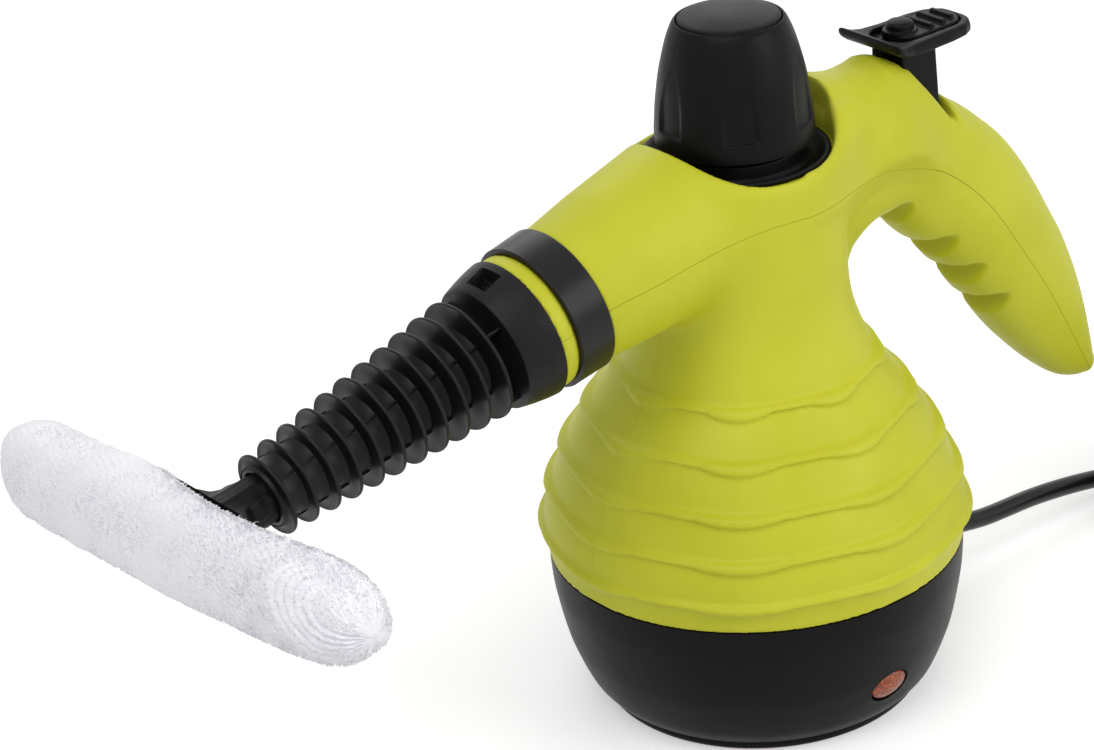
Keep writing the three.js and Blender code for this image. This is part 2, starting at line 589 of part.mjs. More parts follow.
const terminalNotch = block([terminal.x[0] + wall, terminal.x[1] - wall], [-overrun * 3, overrun * 3],
  [terminalFoot - overrun, terminalFoot + 2 * wall]);
const terminalSlots = [-1, 1].map((side) => block([terminal.x[0] + wall, terminal.x[1] - wall],
  [side * overrun - wall, side * overrun + wall], [terminal.top - 2 * wall, terminal.top + overrun]));
add('terminal_block', cut(block(terminal.x, [-terminal.halfWidth, terminal.halfWidth], [terminalFoot, terminal.top]),
  terminalNotch, ...terminalSlots), 'nylon');
const lead = { radius: 1.1, y: 6, z: 13, steps: 10 };
const leadStart = terminal.x[1] + gap;
add('lead_live', pipe([[leadStart, lead.y, lead.z], [leadStart + wall, lead.y, lead.z],
  [leadStart / 2, lead.y, lead.z], [-thermostat.radius - 2 * wall, wall, lead.z + wall],
  [-thermostat.radius + wall, 0, lead.z + wall / 2], [0, 0, boiler.floor - thermostat.height - 3 * gap]
  .map((value, i) => (i < 2 ? value : value - lead.radius)),
], lead.radius, lead.steps, wireSides), 'brown');
const elementEnd = polar(element.circle, element.sweep / 2 * degree);
add('lead_neutral', pipe([[leadStart, -lead.y, lead.z], [leadStart + wall, -lead.y, lead.z],
  [elementEnd[0] + wall, -elementEnd[1] - wall / 2, lead.z + wall / 2],
  [elementEnd[0], -elementEnd[1], elementZ - element.radius - gap - lead.radius],
], lead.radius, lead.steps, wireSides), 'blue');

// Steam valve under the trigger, with its pin and springs
const valveSeat = valve.discHigh + gap;
const valveCup = spin([
  [0, valve.low], [valve.radius, valve.low], [valve.radius, valve.high], [valve.pinRadius + gap, valve.high],
  [valve.pinRadius + gap, valve.roof], [valve.bore, valve.roof], [valve.bore, valveSeat + valve.seat],
  [valve.discRadius - valve.seat, valveSeat + valve.seat], [valve.discRadius - valve.seat, valveSeat],
  [valve.bore, valveSeat], [valve.bore, valve.floor], [0, valve.floor],
], smallSides);
const valveOutlets = [[valve.inletZ, 0], [valve.outletZ, valve.outletTurn]];
const acrossValve = (radius, from, to) => valveOutlets.map(([z, turn]) => toSolid(
  toGeometry(disc(radius, from, to, tinySides)).rotateY(PI / 2).rotateZ(turn).translate(0, 0, z)));
const ports = acrossValve(valve.portRadius, valve.radius - wall, valve.radius + valve.portLength);
const portBores = acrossValve(cordRadius / 2, wall, valve.radius + overrun);
add('valve_body', moved(cut(join(valveCup, ...ports), ...portBores), valve.x, 0), 'brass');
add('valve_pin', moved(spin([
  [0, valve.discLow], [valve.discRadius, valve.discLow], [valve.discRadius, valve.discHigh],
  [valve.pinRadius, valve.discHigh], [valve.pinRadius, trigger.footZ - gap], [0, trigger.footZ - gap],
], smallSides), valve.x, 0), 'steel');
const valveWire = 0.45;
const valveSpring = spring(valve.bore - valveWire - gap, valveWire, valve.discLow - valve.floor - 2 * gap, 3);
add('valve_spring', valveSpring.translate(valve.x, 0, valve.floor + gap), 'steel');
const triggerWire = 0.6;
const triggerSpring = spring(valve.radius - 2 * triggerWire, triggerWire,
  trigger.footZ - valve.high - 2 * gap, 3);
add('trigger_spring', triggerSpring.translate(valve.x, 0, valve.high + gap), 'steel');

// Steam pipes: boiler to valve, valve round the filler neck to the jet
const steamPipe = { radius: 2, side: 19.3, steps: 22, inletSteps: 8 };
const portReach = valve.radius + valve.portLength + gap;
const jet = { rear: 16, front: 28.4, radius: 3.7, bore: 1.1 };
const inletEnd = valve.x + portReach;
add('inlet_pipe', pipe([
  [boiler.portX, 0, boiler.portTop + gap], [boiler.portX, 0, boiler.portTop + wall],
  [boiler.portX, 0, boiler.portTop + 8 * wall], [boiler.portX - wall, 0, valve.inletZ - 3 * wall],
  [boiler.portX - 4 * wall, 0, valve.inletZ - wall / 2], [inletEnd + 5 * wall, 0, valve.inletZ],
  [inletEnd + wall, 0, valve.inletZ], [inletEnd, 0, valve.inletZ],
], steamPipe.radius, steamPipe.inletSteps), 'steel');
const outletPoint = (reach) => [
  valve.x + reach * cos(valve.outletTurn), reach * sin(valve.outletTurn), valve.outletZ,
];
// In the handle each row is x as a share of the valve's place, and round the neck as a share of the pipe's distance
// from the axis; then y as a share of that distance, and the climb as a share of the wall
const handleRouteShares = [[0.737, 0.33, 0], [0.563, 0.34, 0.4], [0.389, 0.4, 0.9]];
const neckRouteShares = [[-0.9, 0.8, 1.2], [-0.05, 1, 2], [0.73, 0.75, 2.7], [1.4, 0.28, 3.3]];
const steamRow = (across) => ([x, y, z]) => [x * across, y * steamPipe.side, valve.outletZ + z * wall];
add('steam_pipe', pipe([
  outletPoint(portReach), outletPoint(portReach + wall),
  ...handleRouteShares.map(steamRow(valve.x)), ...neckRouteShares.map(steamRow(steamPipe.side)),
  nozzlePoint(-5 * wall), nozzlePoint(0), nozzlePoint(jet.rear - 2 * wall), nozzlePoint(jet.rear - gap),
], steamPipe.radius, steamPipe.steps), 'steel');

// Spigot in the housing's mouth, its jet, and the seal inside the extension's collar
const spigot = {
  flange: 18.7, flangeLow: 11.2, flangeHigh: 15.6, radius: 16.8, bore: 14.2, front: 27, wall: 3,
  lugRadius: 18.2, lugLow: 22, lugHigh: 25, lugHalf: 3,
};
const lugs = [-1, 1].map((side) => block(
  [side > 0 ? spigot.bore + gap : -spigot.lugRadius, side > 0 ? spigot.lugRadius : -spigot.bore - gap],
  [-spigot.lugHalf, spigot.lugHalf], [spigot.lugLow, spigot.lugHigh]));
add('steam_spigot', join(cut(spin([
  [spigot.bore, spigot.flangeLow], [spigot.flange, spigot.flangeLow], [spigot.flange, spigot.flangeHigh],
  [spigot.radius, spigot.flangeHigh], [spigot.radius, spigot.front], [jet.radius + gap, spigot.front],
  [jet.radius + gap, spigot.front - spigot.wall], [spigot.bore, spigot.front - spigot.wall],
], midSides)), ...lugs), 'satinBlack', nozzle);
add('steam_jet', spin([
  [jet.bore, jet.rear], [jet.radius, jet.rear], [jet.radius, spigot.front + gap],
  [jet.bore * 2, jet.front], [jet.bore, jet.front],
], tinySides), 'brass', nozzle);
const seal = { low: spigot.front + gap, height: 1.8, inner: 6 };
add('collar_seal', tube(seal.inner, spigot.radius, seal.low, seal.low + seal.height, midSides), 'rubber', nozzle);

// Extension nozzle: collar with a bayonet groove, then eleven thin fins on a tapered core
const collar = {
  rear: stub.length + gap, rearRadius: 23.1, frontRadius: 20.4, front: 30.8, cavity: 17.2, grooveRadius: 19,
  grooveLow: 21.4, grooveHigh: 25.8, slotHalf: 3.6, window: 4, shoulder: 34,
};
const fins = {
  count: 11, first: 37.6, pitch: 7.65, firstRadius: 19.9, lastRadius: 13.2, root: 1, edge: 0.5,
  firstCore: 12.7, lastCore: 10.2,
};
const tip = { socket: 8.3, depth: 14, bore: 5 };
const extensionEnd = stub.length + extensionLength;

function makeExtension() {
  const finAt = (k) => fins.first + fins.pitch * k;
  const finRadius = (k) => fins.firstRadius + (fins.lastRadius - fins.firstRadius) * k / (fins.count - 1);
  const coreRadius = (k) => fins.firstCore + (fins.lastCore - fins.firstCore) * k / (fins.count - 1);
  const profile = [[0, collar.rear], [collar.rearRadius, collar.rear], [collar.frontRadius, collar.front],
    [fins.firstCore, collar.shoulder]];
  for (let k = 0; k < fins.count; k += 1) {
    const core = coreRadius(k);
    profile.push([core, finAt(k) - fins.root], [finRadius(k), finAt(k) - fins.edge],
      [finRadius(k), finAt(k) + fins.edge], [core, finAt(k) + fins.root]);
  }
  profile.push([fins.lastCore, extensionEnd], [0, extensionEnd]);
  const cavityEnd = seal.low + seal.height + gap;
  const cuts = [
    disc(collar.cavity, collar.rear - overrun, cavityEnd, midSides),
    disc(collar.grooveRadius, collar.grooveLow, collar.grooveHigh, midSides),
    disc(tip.bore, collar.rear, extensionEnd + overrun, tinySides),
    disc(tip.socket, extensionEnd - tip.depth - gap, extensionEnd + overrun, smallSides),
    block([-collar.rearRadius - overrun, -collar.cavity], [-collar.window, collar.window],
      [collar.grooveLow, collar.grooveHigh - gap]),
    block([-collar.grooveRadius, collar.grooveRadius], [-collar.slotHalf, collar.slotHalf],
      [collar.rear - overrun, collar.grooveLow + overrun / 2]),
  ];
  add('extension_nozzle', cut(spin(profile, smallSides), ...cuts), 'satinBlack', nozzle);
}
makeExtension();

// Cloth head: a T-shaped tool with a rubber blade inside a cloth bonnet
const head = {
  up: 6.2, along: 147, barHalfLength: 72, barHalfHeight: 10.5, barHalfDepth: 7.2, neckRadius: 7.9, neckEnd: 132,
  fanStart: 124, fanHalf: 56, fanThick: 3.2, bladeThick: 1.2, bladeOut: 2.2,
};
const bonnet = { halfHeight: 15.6, halfDepth: 12.6, cloth: 2.4, openHalf: 7.5, openLength: 60, ends: 10 };

// Bar along Y with rounded ends, about a centre above the nozzle's axis
function bar(halfLength, halfHeight, halfDepth, stations, sides) {
  const rings = Array.from({ length: stations + 1 }, (_, k) => {
    const share = -1 + 2 * k / stations;
    const y = halfLength * sin(share * PI / 2);
    const swell = Math.max(1 - abs(share) ** bonnet.ends, 0) ** 0.5 * 0.94 + 0.06;
    return Array.from({ length: sides }, (_, i) => {
      const turn = 2 * PI * i / sides;
      return new THREE.Vector3(
        -head.up + halfHeight * swell * cos(turn), y, head.along + halfDepth * swell * sin(turn));
    });
  });
  return toSolid(loft(rings));
}

function makeHead() {
  const blade = (grow) => block(
    [-head.up - head.bladeThick - grow, -head.up + head.bladeThick + grow],
    [-head.barHalfLength * 0.9 - grow, head.barHalfLength * 0.9 + grow],
    [head.along + head.barHalfDepth / 2 - grow, head.along + head.barHalfDepth + head.bladeOut + grow]);
  const fan = toSolid(toGeometry(plate([
    [-head.neckRadius, head.fanStart], [head.neckRadius, head.fanStart], [head.fanHalf, head.along - wall],
    [-head.fanHalf, head.along - wall],
  ], 0, 2 * head.fanThick)).applyMatrix4(new THREE.Matrix4().makeBasis(
    new THREE.Vector3(0, 1, 0), new THREE.Vector3(0, 0, 1), new THREE.Vector3(1, 0, 0)))
    .translate(-head.up - head.fanThick, 0, 0));
  const neck = spin([
    [0, extensionEnd - tip.depth], [head.neckRadius, extensionEnd - tip.depth], [head.neckRadius, head.neckEnd],
    [head.neckRadius * 0.8, head.along], [0, head.along],
  ], smallSides);
  const core = bar(head.barHalfLength, head.barHalfHeight, head.barHalfDepth, 8, 10);
  const bore = disc(tip.bore - gap, extensionEnd - tip.depth - overrun, head.neckEnd, tinySides);
  add('tool_head', cut(join(neck, fan, core), blade(gap), bore), 'satinBlack', nozzle);
  add('tool_blade', blade(0), 'rubber', nozzle);
  const cloth = bar(headWidth / 2, bonnet.halfHeight, bonnet.halfDepth, 12, 14);
  const cavity = bar(head.barHalfLength + 2 * gap, head.barHalfHeight + 2 * gap, head.barHalfDepth + 2 * gap, 8, 10);
  const opening = block([-head.up - bonnet.openHalf, -head.up + bonnet.openHalf],
    [-bonnet.openLength, bonnet.openLength], [head.along - bonnet.halfDepth - overrun, head.along]);
  const neckRoom = disc(head.neckRadius + 2 * gap, head.fanStart, head.along, smallSides);
  add('cloth_bonnet', cut(cloth, cavity, blade(2 * gap), opening, neckRoom), 'cloth', nozzle);
}
makeHead();

// Trigger: paddle with an upturned lip on a stem through the handle's slot
const stem = {
  front: 7, rear: 7.8, lowFront: 7.3, lowRear: 9.8, halfWidth: 7.3, footFront: 9.6, footRear: 12,
};
const paddle = {
  rise: 17, thick: 4.5, behind: 27, recessFront: 10.6, recessRear: 24.9, recessHalf: 8.1, recessDepth: 1.8,
};
paddle.top = shoulderHeight + paddle.rise;
paddle.low = paddle.top - paddle.thick;
const slide = {
  front: 6.2, rear: 24.5, half: 7.7, proud: 0.5, knobAhead: 1, knobRadius: 4.6, rib: 0.8,
};
// Each row is x, half width, underside and top as shares of the paddle's rear end and height
const paddleRowShares = [
  [0.578, 0.139, 0.998, 1.0125], [0.592, 0.1415, 0.993, 1.0105], [0.616, 0.137, 0.9855, 1.0045],
  [0.652, 0.129, 0.98, 1.001], [0.707, 0.122, 0.978, 1], [0.86, 0.117, 0.977, 0.999],
  [0.929, 0.106, 0.977, 0.9985], [0.974, 0.077, 0.977, 0.9982], [0.994, 0.04, 0.9775, 0.998],
  [1, 0.012, 0.979, 0.9965],
];
const paddleRear = valve.x - paddle.behind;

function makeTrigger() {
  const corner = 0.18;
  const rings = paddleRowShares.map(([x, half, low, high]) => {
    const [h, z0, z1] = [-half * paddleRear, low * paddle.top, high * paddle.top];
    const [e, f] = [corner * (z1 - z0), corner * (z1 - z0)];
    const outline = [[-h + e, z0], [h - e, z0], [h, z0 + f], [h, z1 - f], [h - e, z1], [-h + e, z1], [-h, z1 - f],
      [-h, z0 + f]];
    return outline.map(([y, z]) => new THREE.Vector3(x * paddleRear, y, z));
  });
  const column = slab([
    [valve.x + stem.front, paddle.low + wall / 2], [valve.x + stem.lowFront, trigger.footZ],
    [valve.x - stem.lowRear, trigger.footZ], [valve.x - stem.rear, paddle.low + wall / 2],
  ], -stem.halfWidth, stem.halfWidth);
  const foot = block([valve.x - stem.footRear, valve.x + stem.footFront], [-stem.halfWidth, stem.halfWidth],
    [trigger.footZ, trigger.footZ + trigger.footHeight]);
  const recessFloor = paddle.top - paddle.recessDepth;
  const recess = plate(stadium(valve.x - paddle.recessRear, valve.x + paddle.recessFront, paddle.recessHalf),
    recessFloor, paddle.top + overrun);
  add('trigger', cut(join(toSolid(loft(rings)), column, foot), recess), 'satinBlack');
  const [front, rear, top] = [valve.x + slide.front, valve.x - slide.rear, paddle.top + slide.proud];
  const ribs = [0.48, 0.68, 0.86].map((share) => {
    const x = front + (rear - front) * share;
    return block([x - slide.rib, x + slide.rib], [-slide.half * 0.75, slide.half * 0.75],
      [top - slide.rib, top + slide.rib]);
  });
  const knob = spin([
    [0, recessFloor + gap], [slide.knobRadius, recessFloor + gap],
    [slide.knobRadius, top + 2 * slide.rib], [slide.knobRadius * 0.8, top + 3.4 * slide.rib],
    [slide.knobRadius * 0.4, top + 4.1 * slide.rib], [0, top + 4.3 * slide.rib],
  ], smallSides);
  add('lock_slider', join(plate(stadium(rear, front, slide.half), recessFloor + gap, top),
    moved(knob, valve.x + slide.knobAhead, 0), ...ribs), 'satinBlack');
}
makeTrigger();

// Safety cap: gasket, washer, threaded plug, relief valve, springs, grip shell and top disc
const cap = {
  gasketHeight: 1.5, washerHeight: 1, ringInner: 12.3, ringOuter: 16.8, plugDepth: 14.2, plugRadius: 11.6,
  flangeRadius: 17, flangeHeight: 3, hubRadius: 8.8, webRise: 19.4, web: 2, headRadius: 11, headHeight: 2.8,
  discRise: 18, discEdge: 2.6, discDome: 2.8, discRadius: 16.1, ledge: 1.6, shellRise: 2.9,
};
const gasketLow = filler.top + gap;
const washerLow = gasketLow + cap.gasketHeight + gap;
const flangeLow = washerLow + cap.washerHeight + gap;
const flangeTop = flangeLow + cap.flangeHeight;
cap.plugLow = filler.top - cap.plugDepth;
cap.webLow = flangeTop + cap.webRise;
cap.webHigh = cap.webLow + cap.web;
cap.discLow = cap.webHigh + cap.discRise;
cap.discRim = cap.discLow + cap.discEdge;
cap.discTop = cap.discRim + cap.discDome;
add('cap_gasket', tube(cap.ringInner, cap.ringOuter, gasketLow, gasketLow + cap.gasketHeight, midSides), 'rubber');
add('cap_washer', tube(cap.ringInner, cap.ringOuter, washerLow, washerLow + cap.washerHeight, midSides), 'steel');

const safety = { bore: 2.2, rise: 3.4, discRadius: 3.8, discHeight: 2.4, chamber: 5.2, depth: 13, wire: 0.5 };
safety.seat = flangeTop + safety.rise;
safety.roof = safety.seat + safety.depth;
const hubTop = cap.webHigh + gap + cap.headHeight;
add('cap_plug', cut(spin([
  [0, cap.plugLow], [cap.plugRadius - wall / 2, cap.plugLow], [cap.plugRadius, cap.plugLow + wall / 2],
  [cap.plugRadius, flangeLow], [cap.flangeRadius, flangeLow], [cap.flangeRadius, flangeTop],
  [cap.hubRadius, flangeTop], [cap.hubRadius, cap.webHigh + gap], [cap.headRadius, cap.webHigh + gap],
  [cap.hubRadius, hubTop], [0, hubTop],
], midSides), disc(safety.bore, cap.plugLow - overrun, hubTop + overrun, tinySides),
disc(safety.chamber, safety.seat, safety.roof, tinySides)), 'satinBlack');
add('relief_valve', spin([
  [0, safety.seat - wall], [safety.bore - gap, safety.seat - wall], [safety.bore - gap, safety.seat + gap],
  [safety.discRadius, safety.seat + gap], [safety.discRadius, safety.seat + gap + safety.discHeight],
  [0, safety.seat + gap + safety.discHeight],
], tinySides), 'brass');
const reliefLow = safety.seat + 2 * gap + safety.discHeight;
add('relief_spring', spring(safety.discRadius - safety.wire, safety.wire, safety.roof - gap - reliefLow, 3)
  .translate(0, 0, reliefLow), 'steel');
const capSpring = { radius: 11.5, wire: 0.8, turns: 3 };
add('cap_spring', spring(capSpring.radius, capSpring.wire, cap.webLow - flangeTop - 2 * gap, capSpring.turns)
  .translate(0, 0, flangeTop + gap), 'steel');

// Grip shell as shares of the cap's height above its lower edge and of its widest radius
const capShell = { low: flangeTop + cap.shellRise, radius: 24.9, wall: 2.2 };
const capHeight = cap.discRim - capShell.low;
const capSideShares = [[0.975, 0], [1, 0.06], [0.99, 0.2], [0.955, 0.4], [0.905, 0.58], [0.82, 0.8],
  [0.735, 0.955], [0.69, 1]]
  .map(([radius, height]) => [radius * capShell.radius, capShell.low + height * capHeight]);
const grip = {
  count: 6, start: 54 * degree, halfWidth: 5.4, rise: 7.1, side: 9.4, arch: 10, depth: 1.3,
};
grip.low = capShell.low + grip.rise;
grip.spring = grip.low + grip.side;
grip.peak = grip.spring + grip.arch;

function makeCapShell() {
  const inner = capSideShares.filter((_, i) => i % 3 === 0).map(([radius, height]) => [radius - capShell.wall, height])
    .reverse();
  const mouth = cap.discRadius + gap;
  const skin = spin([...capSideShares, [mouth, cap.discRim], [mouth, cap.discLow - gap],
    [mouth - cap.ledge, cap.discLow - gap], [mouth - cap.ledge, cap.discLow - gap - cap.ledge], ...inner.slice(1),
  ], midSides);
  const web = spin([[cap.hubRadius + gap, cap.webLow], [capShell.radius * 0.9, cap.webLow],
    [capShell.radius * 0.89, cap.webHigh], [cap.hubRadius + gap, cap.webHigh]], midSides);
  const arch = [[-grip.halfWidth, grip.low], [grip.halfWidth, grip.low], [grip.halfWidth, grip.spring],
    [grip.halfWidth * 0.62, grip.spring + (grip.peak - grip.spring) * 0.55], [0, grip.peak],
    [-grip.halfWidth * 0.62, grip.spring + (grip.peak - grip.spring) * 0.55], [-grip.halfWidth, grip.spring]];
  const lean = 9 * degree;
  const recesses = Array.from({ length: grip.count }, (_, i) => {
    const prism = toGeometry(slab(arch, capShell.radius - grip.depth, capShell.radius + overrun));
    prism.translate(0, -capShell.radius, -grip.low).rotateX(lean).translate(0, capShell.radius, grip.low);
    return toSolid(prism.rotateZ(grip.start - PI / 2 + 2 * PI * i / grip.count));
  });
  add('cap_shell', cut(join(skin, web), ...recesses), 'satinBlack');
  add('cap_disc', spin([[0, cap.discLow], [cap.discRadius, cap.discLow], [cap.discRadius, cap.discRim],
    [cap.discRadius * 0.94, cap.discRim + wall * 0.3], [cap.discRadius * 0.6, cap.discTop - gap * 1.5],
    [0, cap.discTop]], midSides), 'satinBlack');
}
makeCapShell();

// Cord: clamp, strain relief, free stretch, coil, tie and plug
const alongX = (solid, z) => toSolid(toGeometry(solid).rotateY(PI / 2).translate(0, 0, z));
const clamp = { x: [-44.6, -39.5], halfWidth: 8.5, top: 24.5 };
add('cord_clamp', cut(block(clamp.x, [-clamp.halfWidth, clamp.halfWidth], [plateDims.floor + gap, clamp.top]),
  alongX(disc(relief.bore, -bodyRadius, 0, tinySides), relief.z)), 'satinBlack');
const wallOut = bowlRadiusAt(relief.z + relief.collar) + 2 * gap;
const wallIn = bowlRadiusAt(relief.z - relief.flangeRadius) - bowl.wall - 4 * gap;
add('strain_relief', alongX(spin([
  [relief.bore, -relief.end], [relief.endRadius, -relief.end], [relief.body, -wallOut - 2 * relief.flange],
  [relief.collar, -wallOut - relief.flange], [relief.collar, -wallOut], [relief.body, -wallOut],
  [relief.body, -wallIn], [relief.flangeRadius, -wallIn], [relief.flangeRadius, -wallIn + relief.flange],
  [relief.bore, -wallIn + relief.flange],
], smallSides), relief.z), 'rubber');

const coil = {
  centreX: -205, inner: 28, pitch: 8, layer: 7, layers: 4, turnsPerLayer: 2.125, lift: 1.2, sides: 6, steps: 14,
};
const coilOuter = coil.inner + coil.pitch * coil.turnsPerLayer;
const coilFloor = cordRadius + coil.lift;
const coilPoints = [];
for (let layer = 0; layer < coil.layers; layer += 1) {
  const outward = layer % 2 === 1;
  const count = round(coil.turnsPerLayer * coil.steps);
  const done = layer * (coil.turnsPerLayer + 0.5);
  for (let k = 0; k <= count; k += 1) {
    const share = k / count;
    coilPoints.push({
      turn: done + share * coil.turnsPerLayer,
      radius: coil.inner + (coilOuter - coil.inner) * (outward ? share : 1 - share),
      z: coilFloor + coil.layer * layer,
    });
  }
  const climb = layer + 1 < coil.layers ? coil.steps / 2 : 0;
  for (let k = 1; k < climb; k += 1) {
    coilPoints.push({
      turn: done + coil.turnsPerLayer + 0.5 * k / climb,
      radius: outward ? coilOuter : coil.inner,
      z: coilFloor + coil.layer * (layer + k / climb),
    });
  }
}
const coilPlace = ({ turn, radius, z }) => {
  const around = PI / 2 + 2 * PI * turn;
  return new THREE.Vector3(coil.centreX + radius * cos(around), coilOuter - radius * sin(around), z);
};

// Hexagonal wire through the coil's points, with a straight lead at each end
function wire(points, radius, sides) {
  return points.map((point, k) => {
    const ahead = points[Math.min(k + 1, points.length - 1)];
    const behind = points[Math.max(k - 1, 0)];
    const run = ahead.clone().sub(behind).normalize();
    const side = new THREE.Vector3(0, 0, 1).cross(run).normalize();
    const up = run.clone().cross(side);
    return Array.from({ length: sides }, (_, i) => {
      const around = 2 * PI * i / sides;
      return point.clone().addScaledVector(side, radius * cos(around)).addScaledVector(up, radius * sin(around));
    });
  });
}
const leadLength = 2 * cordRadius;
const coilRun = coilPoints.map(coilPlace);
const coilStart = coilRun[0].clone().add(new THREE.Vector3(leadLength, 0, 0));
const coilEnd = coilRun[coilRun.length - 1].clone().add(new THREE.Vector3(-leadLength, 0, 0));
const coilLine = [coilStart, ...coilRun, coilEnd];
add('cord_coil', loft(wire(coilLine, cordRadius, coil.sides)), 'cord');

let coilGap = Infinity;
coilRun.forEach((a, i) => coilRun.slice(i + coil.steps / 2).forEach((b) => {
  coilGap = Math.min(coilGap, a.distanceTo(b) - 2 * cordRadius);
}));
const lengthOf = (points) => points.slice(1).reduce((sum, point, i) => sum + point.distanceTo(points[i]), 0);

// Route of the free stretch, chosen by hand, and of the end that leads to the plug
const plug = {
  radius: 12, length: 34, neck: 5, boot: 14, pinLength: 19, pinRadius: 2.4, pinSpacing: 19, flangeRadius: 18.5,
  face: 8, z: 18.6, reach: 52,
};
const tail = { leave: 18, sag: 0.8, land: 34, ease: 1.2 };
const cordStart = terminal.x[0] - gap;
const cordRoute = [
  [cordStart, 0, relief.z], [-48, 0, relief.z], [-60, 0, relief.z], [-74, 0, relief.z], [-89, 0, relief.z],
  [-104, 0, 16], [-127, 0, 14.6], [-143, 0, 12.6], [-156, 0, 10.3], [-170, 0, 7.4], [-184, 0, 5.4],
  [coilStart.x + leadLength, 0, coilFloor], [coilStart.x + gap, 0, coilFloor],
];
add('power_cord', pipe(cordRoute, cordRadius, 18, 8), 'cord');
const plugEnd = coilEnd.x - plug.reach;
const tailRoute = [
  [coilEnd.x - gap, 0, coilEnd.z], [coilEnd.x - leadLength, 0, coilEnd.z], [coilEnd.x - tail.leave, 0, coilEnd.z - tail.sag],
  [coilEnd.x - tail.land, 0, plug.z + tail.ease], [plugEnd + leadLength, 0, plug.z], [plugEnd + gap, 0, plug.z],
];
add('cord_tail', pipe(tailRoute, cordRadius, 8, 8), 'cord');
const plugShape = alongX(spin([
  [0, plugEnd], [plug.neck, plugEnd], [plug.neck + wall / 2, plugEnd - plug.boot],
  [plug.radius, plugEnd - plug.boot - wall],
  [plug.radius, plugEnd - plug.boot - plug.length * 0.6], [plug.flangeRadius, plugEnd - plug.boot - plug.length * 0.75],
  [plug.flangeRadius, plugEnd - plug.boot - plug.length], [0, plugEnd - plug.boot - plug.length],
], smallSides), plug.z);
const plugFace = plugEnd - plug.boot - plug.length;
const pinCuts = [-1, 1].map((side) => moved(
  alongX(disc(plug.pinRadius + gap, plugFace - overrun, plugFace + plug.face, tinySides), plug.z),
  0, side * plug.pinSpacing / 2));
add('plug_body', cut(plugShape, ...pinCuts), 'satinBlack');
[-1, 1].forEach((side, i) => {
  const pin = spin([
    [0, plugFace - plug.pinLength], [plug.pinRadius * 0.6, plugFace - plug.pinLength],
    [plug.pinRadius, plugFace - plug.pinLength + plug.pinRadius], [plug.pinRadius, plugFace + plug.face - gap],
    [0, plugFace + plug.face - gap],
  ], tinySides);
  add(`plug_pin_${i + 1}`, moved(alongX(pin, plug.z), 0, side * plug.pinSpacing / 2), 'steel');
});

// Tie: a flat band round the coil's bundle, on the side away from the cord
const tie = { thick: 0.8, halfWidth: 3, room: 1.2, turn: PI / 2 };
function makeTie() {
  const [inside, outside] = [coil.inner - cordRadius - tie.room, coilOuter + cordRadius + 2 * gap];
  const [low, high] = [tie.thick, coilFloor + coil.layer * (coil.layers - 1) + cordRadius + 2 * gap];
  const frame = slab([
    [inside - tie.thick, 0], [outside + tie.thick, 0], [outside + tie.thick, high + tie.thick],
    [inside - tie.thick, high + tie.thick],
  ], -tie.halfWidth, tie.halfWidth);
  const hole = block([inside, outside], [-overrun, overrun], [low, high]);
  const band = toGeometry(cut(frame, hole)).rotateZ(tie.turn);
  add('cord_tie', band.translate(coil.centreX, coilOuter, 0), 'rubber');
}
makeTie();

const routeLength = (route) => new THREE.CatmullRomCurve3(
  route.map((point) => new THREE.Vector3(...point)), false, 'centripetal').getLength();
const cordLength = routeLength(cordRoute) + lengthOf(coilLine) + routeLength(tailRoute);
console.log(`cord length ${cordLength.toFixed(0)} mm, least gap in the coil ${coilGap.toFixed(2)} mm`);

export default part;
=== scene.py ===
"""Looks of the hand-held steam cleaner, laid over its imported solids.

Shapes are worked out in millimetres and written to the meshes in metres.
"""

import bmesh
import bpy
import numpy as np
from mathutils import Matrix, Vector


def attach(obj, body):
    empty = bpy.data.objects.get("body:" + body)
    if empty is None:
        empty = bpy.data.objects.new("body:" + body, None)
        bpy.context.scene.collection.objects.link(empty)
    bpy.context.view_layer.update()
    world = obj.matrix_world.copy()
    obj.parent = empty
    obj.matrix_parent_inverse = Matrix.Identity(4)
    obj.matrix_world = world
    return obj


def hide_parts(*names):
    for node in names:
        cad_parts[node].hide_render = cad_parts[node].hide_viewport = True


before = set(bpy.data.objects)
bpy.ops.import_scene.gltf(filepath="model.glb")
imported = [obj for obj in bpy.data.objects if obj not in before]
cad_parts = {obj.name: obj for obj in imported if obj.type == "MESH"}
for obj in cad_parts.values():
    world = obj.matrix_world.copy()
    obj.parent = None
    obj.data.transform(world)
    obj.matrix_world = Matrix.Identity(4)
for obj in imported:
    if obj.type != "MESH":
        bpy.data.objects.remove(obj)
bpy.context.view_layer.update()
MM = 0.001
TAU = 2 * np.pi

# Camera: the photograph's own viewpoint, with its focal length and width in the photograph's pixels
FOCAL_LENGTH, PICTURE_WIDTH = 3616.1, 1094


def set_camera():
    """Places the camera by its right, up and backward directions."""
    data = bpy.data.cameras.new("studio_camera")
    data.sensor_width = 36
    data.lens = FOCAL_LENGTH / PICTURE_WIDTH * data.sensor_width
    data.clip_start, data.clip_end = 0.01, 20
    camera = bpy.data.objects.new("studio_camera", data)
    right, up, back = (-0.77517, 0.62777, -0.07087), (-0.32448, -0.29937, 0.89727), (0.54206, 0.71853, 0.43576)
    place = (0.67444, 0.78826, 0.61508)
    camera.matrix_world = Matrix([*zip(right, up, back, place), (0, 0, 0, 1)])
    bpy.context.collection.objects.link(camera)
    bpy.context.scene.camera = camera


set_camera()


